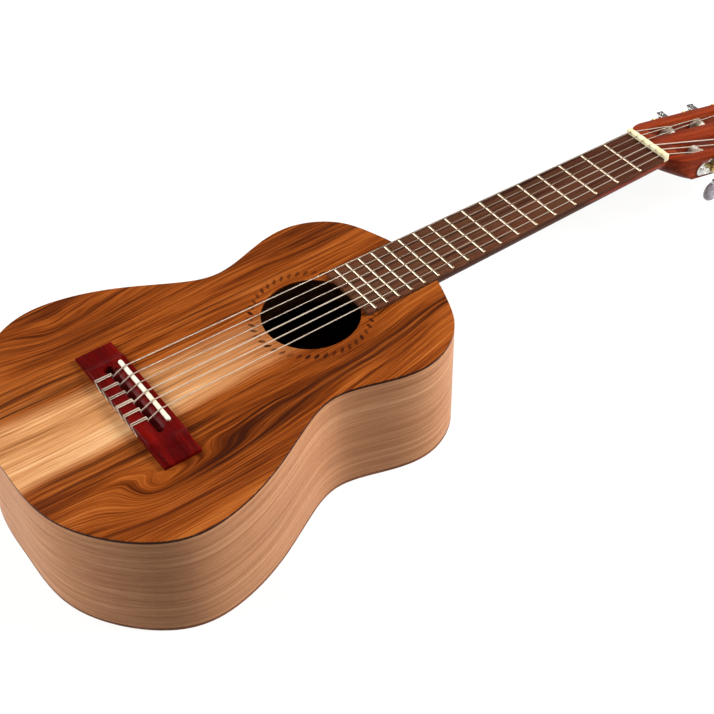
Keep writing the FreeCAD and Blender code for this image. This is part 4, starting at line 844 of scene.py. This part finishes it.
@dataclass
class HeadFrame:
    """The head's own directions: u along its face from the nut, y across it and v out of the face.

    Strings and their machines are counted from 0 to 5, from the treble side to the bass side.
    """

    nut_x: float
    face_z: float
    tilt: float = 12.0
    nut_width: float = 4.5
    first: float = 41.3
    spacing: float = 35.0
    axle: float = -8.0

    def __post_init__(self) -> None:
        """The cosine and the sine of the tilt."""
        slope = math.radians(self.tilt)
        self.level, self.rise = math.cos(slope), math.sin(slope)

    def point(self, u: float, y: float, v: float) -> Vector:
        """A point of the head in the row frame, in millimetres."""
        return Vector((self.nut_x + self.nut_width + u * self.level + v * self.rise, y,
                       self.face_z - u * self.rise + v * self.level))

    def matrix(self, u: float, y: float, v: float) -> Matrix:
        """The turn and place of a piece at a point of the head, in metres."""
        return Matrix.Translation(self.point(u, y, v) * MM) @ Matrix.Rotation(math.radians(self.tilt), 4, "Y")

    def place(self, point: Vector) -> tuple[float, float]:
        """A row point's place along and above the head's face."""
        run, up = point.x - self.nut_x - self.nut_width, point.z - self.face_z
        return run * self.level - up * self.rise, run * self.rise + up * self.level

    def side(self, index: int) -> int:
        """The sign of Y on the side where a string's machine sits."""
        return 1 if index > 2 else -1

    def roller(self, index: int) -> float:
        """How far along the head a string's roller is."""
        return self.first + self.spacing * (index if index < 3 else 5 - index)

    def round_roller(self, index: int, radius: float, angle: float, line: float) -> Vector:
        """A point at a radius and an angle round a string's roller, so far from the head's middle line."""
        return self.point(self.roller(index) + radius * math.cos(angle), self.side(index) * line,
                          self.axle + radius * math.sin(angle))


@dataclass
class Machines:
    """The six tuning machines on their two plates."""

    shop: Workshop
    head: HeadFrame
    worm_offset: float = 6.8
    worm_line: float = 34.1
    button_top: float = -25.0
    button_length: float = 14.5
    button_width: float = 15.0
    button_thickness: float = 8.5
    button_sides: int = 20
    button_rim: float = 0.5
    plate_edge: float = 0.22
    screw_edge: float = 0.15
    gear_edge: float = 0.1
    roller_edge: float = 0.2
    levels: tuple[tuple[float, float, float], ...] = (
        (0.0, 0.36, 0.58), (0.03, 0.42, 0.66), (0.12, 0.70, 0.84), (0.22, 0.86, 0.95), (0.35, 0.965, 1.0),
        (0.5, 1.0, 1.0), (0.64, 0.985, 0.985), (0.77, 0.90, 0.92), (0.88, 0.74, 0.8), (0.96, 0.54, 0.6),
        (1.0, 0.36, 0.42))

    def build(self) -> None:
        """Dress the plates, screws and machines."""
        shop = self.shop
        for side in ("bass", "treble"):
            shop.ease(side + "_tuner_plate", self.plate_edge, Hue.PLATE, "plate_metal")
        shop.ease("plate_screws", self.screw_edge, Hue.SCREW, "screw_metal")
        for index in range(6):
            number = index + 1
            shop.carry([f"worm_{number}"], Hue.WORM)
            shop.ease(f"gear_{number}", self.gear_edge, Hue.BRASS, "gear_brass", 1)
            shop.ease(f"roller_{number}", self.roller_edge, Hue.ROLLER, "roller_white")
            self.button(index)

    def button(self, index: int) -> None:
        """Model one oval button: a ring of points extruded and scaled down its length, and smoothed."""
        bpy.ops.object.select_all(action="DESELECT")
        bpy.ops.mesh.primitive_circle_add(vertices=self.button_sides, radius=0.5 * MM, fill_type="NGON")
        piece = bpy.context.active_object
        piece.name = f"button_{index + 1}_oval"
        bpy.ops.object.mode_set(mode="EDIT")
        bpy.ops.mesh.select_all(action="SELECT")
        here, wide, thick = 0.0, 1.0, 1.0
        for share, width_share, thickness_share in self.levels:
            width, thickness = self.button_width * width_share, self.button_thickness * thickness_share
            depth = -share * self.button_length * MM
            if share:
                bpy.ops.mesh.extrude_region_move(TRANSFORM_OT_translate={"value": (0, 0, depth - here)})
            bpy.ops.transform.resize(value=(width / wide, thickness / thick, 1),
                                     center_override=(0, 0, depth))
            here, wide, thick = depth, width, thickness
        bpy.ops.mesh.select_all(action="SELECT")
        bpy.ops.mesh.normals_make_consistent(inside=False)
        bpy.ops.object.mode_set(mode="OBJECT")
        bevel(piece, self.button_rim, 2, 50)
        smooth = piece.modifiers.new("smooth", "SUBSURF")
        smooth.levels = smooth.render_levels = 1
        bpy.ops.object.modifier_apply(modifier="smooth")
        bpy.ops.object.shade_smooth()
        place = self.head.roller(index) + self.worm_offset
        piece.data.transform(self.head.matrix(place, self.head.side(index) * self.worm_line, self.button_top))
        self.shop.settle(piece, [f"button_{index + 1}"], Hue.PEARL, "button_pearl",
                         f"button_drive_{index + 1}")


@dataclass
class StringSet:
    """The six strings with their knots, and their turns on the rollers. Lengths are in millimetres."""

    shop: Workshop
    head: HeadFrame
    gauges: tuple[float, ...] = (0.75, 0.85, 1.0, 0.8, 0.9, 1.05)
    top: float = 90.5
    crowns: float = 94.5
    nut_rise: float = 1.0
    span_nut: float = 34.4
    span_saddle: float = 46.6
    saddle_line: float = 437.84
    saddle_top: float = 98.3
    bridge_height: float = 6.2
    tie_front: float = 448.0
    tie_back: float = 458.2
    hole_height: float = 3.6
    clearance: float = 0.15
    roller_radius: float = 4.8
    wrap_line: float = 20.1
    wrap_gap: float = 0.3
    turns_gap: float = 0.12
    turn_pitch: float = 0.5
    turns: int = 3
    steps: int = 12
    corner_reach: float = 1.6
    end_gauges: float = 1.6
    roller_lead: float = 6.0
    roller_steps: int = 8

    def build(self) -> None:
        """Make the strings and their turns."""
        for index in range(6):
            number = index + 1
            hue, slot = (Hue.WOUND, "string_wound") if index > 2 else (Hue.NYLON, "string_nylon")
            for node, points, body in (
                    (f"string_{number}", self.route(index), "instrument"),
                    (f"string_turns_{number}", self.winding(index), f"roller_drive_{number}")):
                cord = self.tube(node + "_cord", points, self.gauges[index])
                self.shop.settle(cord, [node], hue, slot, body)

    def across(self, index: int, span: float) -> float:
        """Where a string lies across a span."""
        return (index / 5 - 0.5) * span

    def outside(self, radius: float) -> float:
        """How far out the control points of a circle lie."""
        return radius / math.cos(math.pi / self.steps)

    def knot(self, index: int) -> list[Vector]:
        """The tie knot's control points: tail, two loops over the tie block, hole and channel."""
        nut_x, radius = self.head.nut_x, self.gauges[index] / 2
        off = radius + self.clearance
        y = self.across(index, self.span_saddle)
        front, back = nut_x - self.tie_front + off, nut_x - self.tie_back - off
        high = self.top + self.bridge_height + off
        hole = self.top + self.hole_height
        low = hole - 2 * radius - self.clearance + 0.25
        wide, near = 0.8, 1.4
        right, left = y - wide, y + wide
        tail = ((back, right - 6, high - 4.5), (back, right - 3, high - 3.2), (back, right - 0.8, high - 1.9))
        loop = ((back, high - near), (back, high), (back + near, high), (front - near, high), (front, high),
                (front, high - near), (front, low + near), (front, low))
        through = ((back, y + 0.3, hole + near), (back, y, hole), (back + near, y, hole),
                   (front - off - near, y, hole), (front - off, y, hole),
                   (front - off + near, y, hole + 0.42 * near))
        return [Vector(point) for point in (
            *tail, *((x, right, z) for x, z in loop), *((x, left, z) for x, z in reversed(loop)), *through)]

    def route(self, index: int) -> list[Vector]:
        """A string's control points: knot, saddle, nut and its run over the roller."""
        nut_x, radius = self.head.nut_x, self.gauges[index] / 2
        points = self.knot(index)
        corner = Vector((nut_x - self.saddle_line, self.across(index, self.span_saddle),
                         self.saddle_top + radius + self.clearance))
        nut = Vector((nut_x, self.across(index, self.span_nut), self.crowns + self.nut_rise + radius))
        reach = radius + self.roller_radius + self.wrap_gap
        start = self.head.place(nut)
        away = Vector((self.head.roller(index) - start[0], self.head.axle - start[1]))
        first = math.atan2(away.y, away.x) + math.asin(reach / away.length) + math.pi / 2
        contact = self.head.round_roller(index, reach, first, self.wrap_line)
        for before, here, after in ((points[-1], corner, nut), (corner, nut, contact)):
            points += [here + (before - here).normalized() * self.corner_reach, here,
                       here + (after - here).normalized() * self.corner_reach]
        points.append(contact + (nut - contact).normalized() * self.roller_lead)
        for number in range(self.roller_steps):
            angle = first - math.tau * (number + 0.5) / self.steps
            points.append(self.head.round_roller(index, self.outside(reach), angle, self.wrap_line))
        return points

    def winding(self, index: int) -> list[Vector]:
        """The helix of control points on a roller, with a trimmed end."""
        gauge = self.gauges[index]
        wide = self.outside(self.roller_radius + gauge / 2 + self.turns_gap)
        pitch = gauge + self.turn_pitch
        points = []
        for number in range(self.turns * self.steps + 1):
            turned = (number - 0.5) / self.steps
            points.append(self.head.round_roller(index, wide, math.pi / 2 - math.tau * turned,
                                                 self.wrap_line - pitch - pitch * turned))
        last, before = points[-1], points[-2]
        return points + [last + (last - before).normalized() * self.end_gauges * gauge]

    def tube(self, name: str, points: Sequence[Vector], gauge: float) -> bpy.types.Object:
        """Lay a round cord on a smooth spline and turn it into a mesh with its own map.

        Args:
            name: The piece's name.
            points: The spline's control points, in millimetres.
            gauge: The cord's diameter.

        Returns:
            The cord.
        """
        curve = bpy.data.curves.new(name, "CURVE")
        curve.dimensions = "3D"
        spline = curve.splines.new("NURBS")
        spline.points.add(len(points) - 1)
        for target, point in zip(spline.points, points):
            target.co = (*(point * MM), 1)
        spline.order_u = 3
        spline.use_endpoint_u = True
        spline.resolution_u = 5
        curve.bevel_depth = gauge / 2 * MM
        curve.bevel_resolution = 2
        curve.use_fill_caps = True
        pick(put_in_scene(name, curve))
        bpy.ops.object.convert(target="MESH")
        piece = bpy.context.active_object
        self.measure(piece.data, 4 + 2 * curve.bevel_resolution)
        bpy.ops.object.shade_smooth_by_angle(angle=math.radians(50))
        return piece

    @staticmethod
    def measure(mesh: bpy.types.Mesh, ring: int) -> None:
        """Write a cord's map, ring after ring of points: U is the length in metres and V goes once round."""
        count = len(mesh.vertices) // ring
        centres = [sum((mesh.vertices[ring * number + step].co for step in range(ring)), Vector()) / ring
                   for number in range(count)]
        lengths = [0.0]
        for before, after in zip(centres, centres[1:]):
            lengths.append(lengths[-1] + (after - before).length)
        chart = mesh.uv_layers.active or mesh.uv_layers.new(name="UVMap")
        for face in mesh.polygons:
            steps = [mesh.loops[loop].vertex_index % ring for loop in face.loop_indices]
            seam = len(steps) == 4 and max(steps) - min(steps) > 1
            for loop, around in zip(face.loop_indices, steps):
                number = min(mesh.loops[loop].vertex_index // ring, count - 1)
                chart.data[loop].uv = (lengths[number], (ring if seam and not around else around) / ring)


@dataclass
class Studio:
    """Floor, light and camera. Only the camera is in millimetres, and the rest is in metres."""

    camera_place: tuple[float, float, float] = (-498.16, -610.23, 769.31)
    right: tuple[float, float, float] = (0.81503, -0.57918, -0.01676)
    down: tuple[float, float, float] = (-0.42000, -0.57062, -0.70568)
    ahead: tuple[float, float, float] = (0.39915, 0.58219, -0.70833)
    focal: float = 1457.45
    picture: float = 714.0
    sensor: float = 36.0
    floor_size: float = 30
    floor_level: float = -0.0002
    floor_cloth: Colour = (0.28, 0.28, 0.275, 1)
    floor_shade: Colour = (0.24, 0.24, 0.24, 1)
    floor_glow: Colour = (1, 0.998, 0.985, 1)
    surround: float = 0.23
    light_aim: tuple[float, float, float] = (-0.08, 0, 0.05)

    def build(self) -> None:
        """Set the studio up."""
        bpy.context.scene.view_settings.view_transform = "Standard"
        self.camera()
        self.floor()
        self.world()
        self.lamp("right_light", Vector((1.45, -0.9, 1.15)), size=1.1, power=60)
        self.lamp("left_light", Vector((-1.65, 0.95, 1.15)), size=1.2, power=44)

    def camera(self) -> None:
        """The camera that took the photograph: its place, its three directions and its lens."""
        data = bpy.data.cameras.new("camera")
        data.sensor_width = self.sensor
        data.lens = self.focal / self.picture * self.sensor
        data.clip_start, data.clip_end = 0.01, 50
        camera = put_in_scene("camera", data)
        columns = (Vector(self.right), -Vector(self.down), -Vector(self.ahead))
        turn = Matrix([[column[row] for column in columns] for row in range(3)])
        camera.rotation_mode = "QUATERNION"
        camera.rotation_quaternion = turn.to_quaternion()
        camera.location = Vector(self.camera_place) * MM
        bpy.context.scene.camera = camera

    def floor(self) -> None:
        """A wide pale sheet that keeps the instrument's soft shadow."""
        bpy.ops.object.select_all(action="DESELECT")
        bpy.ops.mesh.primitive_plane_add(size=self.floor_size, location=(0, 0, self.floor_level))
        floor = bpy.context.active_object
        floor.name = "floor"
        material = bpy.data.materials.new("pale_floor")
        bench = Bench.cleared(material)
        path = bench.put("LightPath").outputs
        seen = bench.number("MAXIMUM", path["Is Camera Ray"], path["Is Glossy Ray"])
        cloth, shade = bench.put("BsdfDiffuse", self.floor_cloth), bench.put("BsdfDiffuse", self.floor_shade)
        away = bench.put("VectorMath", bench.place(), operation="LENGTH").outputs["Value"]
        glow = bench.put("Emission", self.floor_glow, bench.step(away, 0.6, 2.4, 0.82, 1.0))
        both = bench.put("AddShader", shade.outputs[0], glow.outputs[0])
        bench.feed(bench.put("OutputMaterial").inputs["Surface"], bench.shaders(seen, cloth, both))
        floor.data.materials.append(material)

    def world(self) -> None:
        """An even pale surround, white where the camera sees it."""
        world = bpy.data.worlds.new("studio")
        bpy.context.scene.world = world
        bench = Bench.cleared(world)
        soft = bench.label(bench.put("Background"), Strength=self.surround)
        white = bench.put("Background", (1, 1, 1, 1), 1)
        seen = bench.put("LightPath").outputs["Is Camera Ray"]
        bench.feed(bench.put("OutputWorld").inputs["Surface"], bench.shaders(seen, soft, white))

    def lamp(self, name: str, place: Vector, size: float, power: float) -> None:
        """A square soft light at a place, turned to the instrument."""
        data = bpy.data.lights.new(name, "AREA")
        data.size = size
        data.energy = power
        lamp = put_in_scene(name, data)
        lamp.location = place
        lamp.rotation_mode = "QUATERNION"
        lamp.rotation_quaternion = (Vector(self.light_aim) - place).to_track_quat("-Z", "Y")


def main() -> None:
    """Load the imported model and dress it."""
    logging.basicConfig(level=logging.INFO, format="%(name)s: %(message)s")
    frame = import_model()
    low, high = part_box("rosette")
    middle = (low + high) / 2
    shop = Workshop(frame, Finishes(Vector((middle.x, middle.y, high.z))))
    head = HeadFrame(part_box("nut")[0].x / MM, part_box("soundboard")[1].z / MM + 0.8)
    Studio().build()
    SoundBox(shop).build()
    Neck(shop).build()
    Bridge(shop).build()
    Machines(shop, head).build()
    StringSet(shop, head).build()


if __name__ == "__main__":
    main()
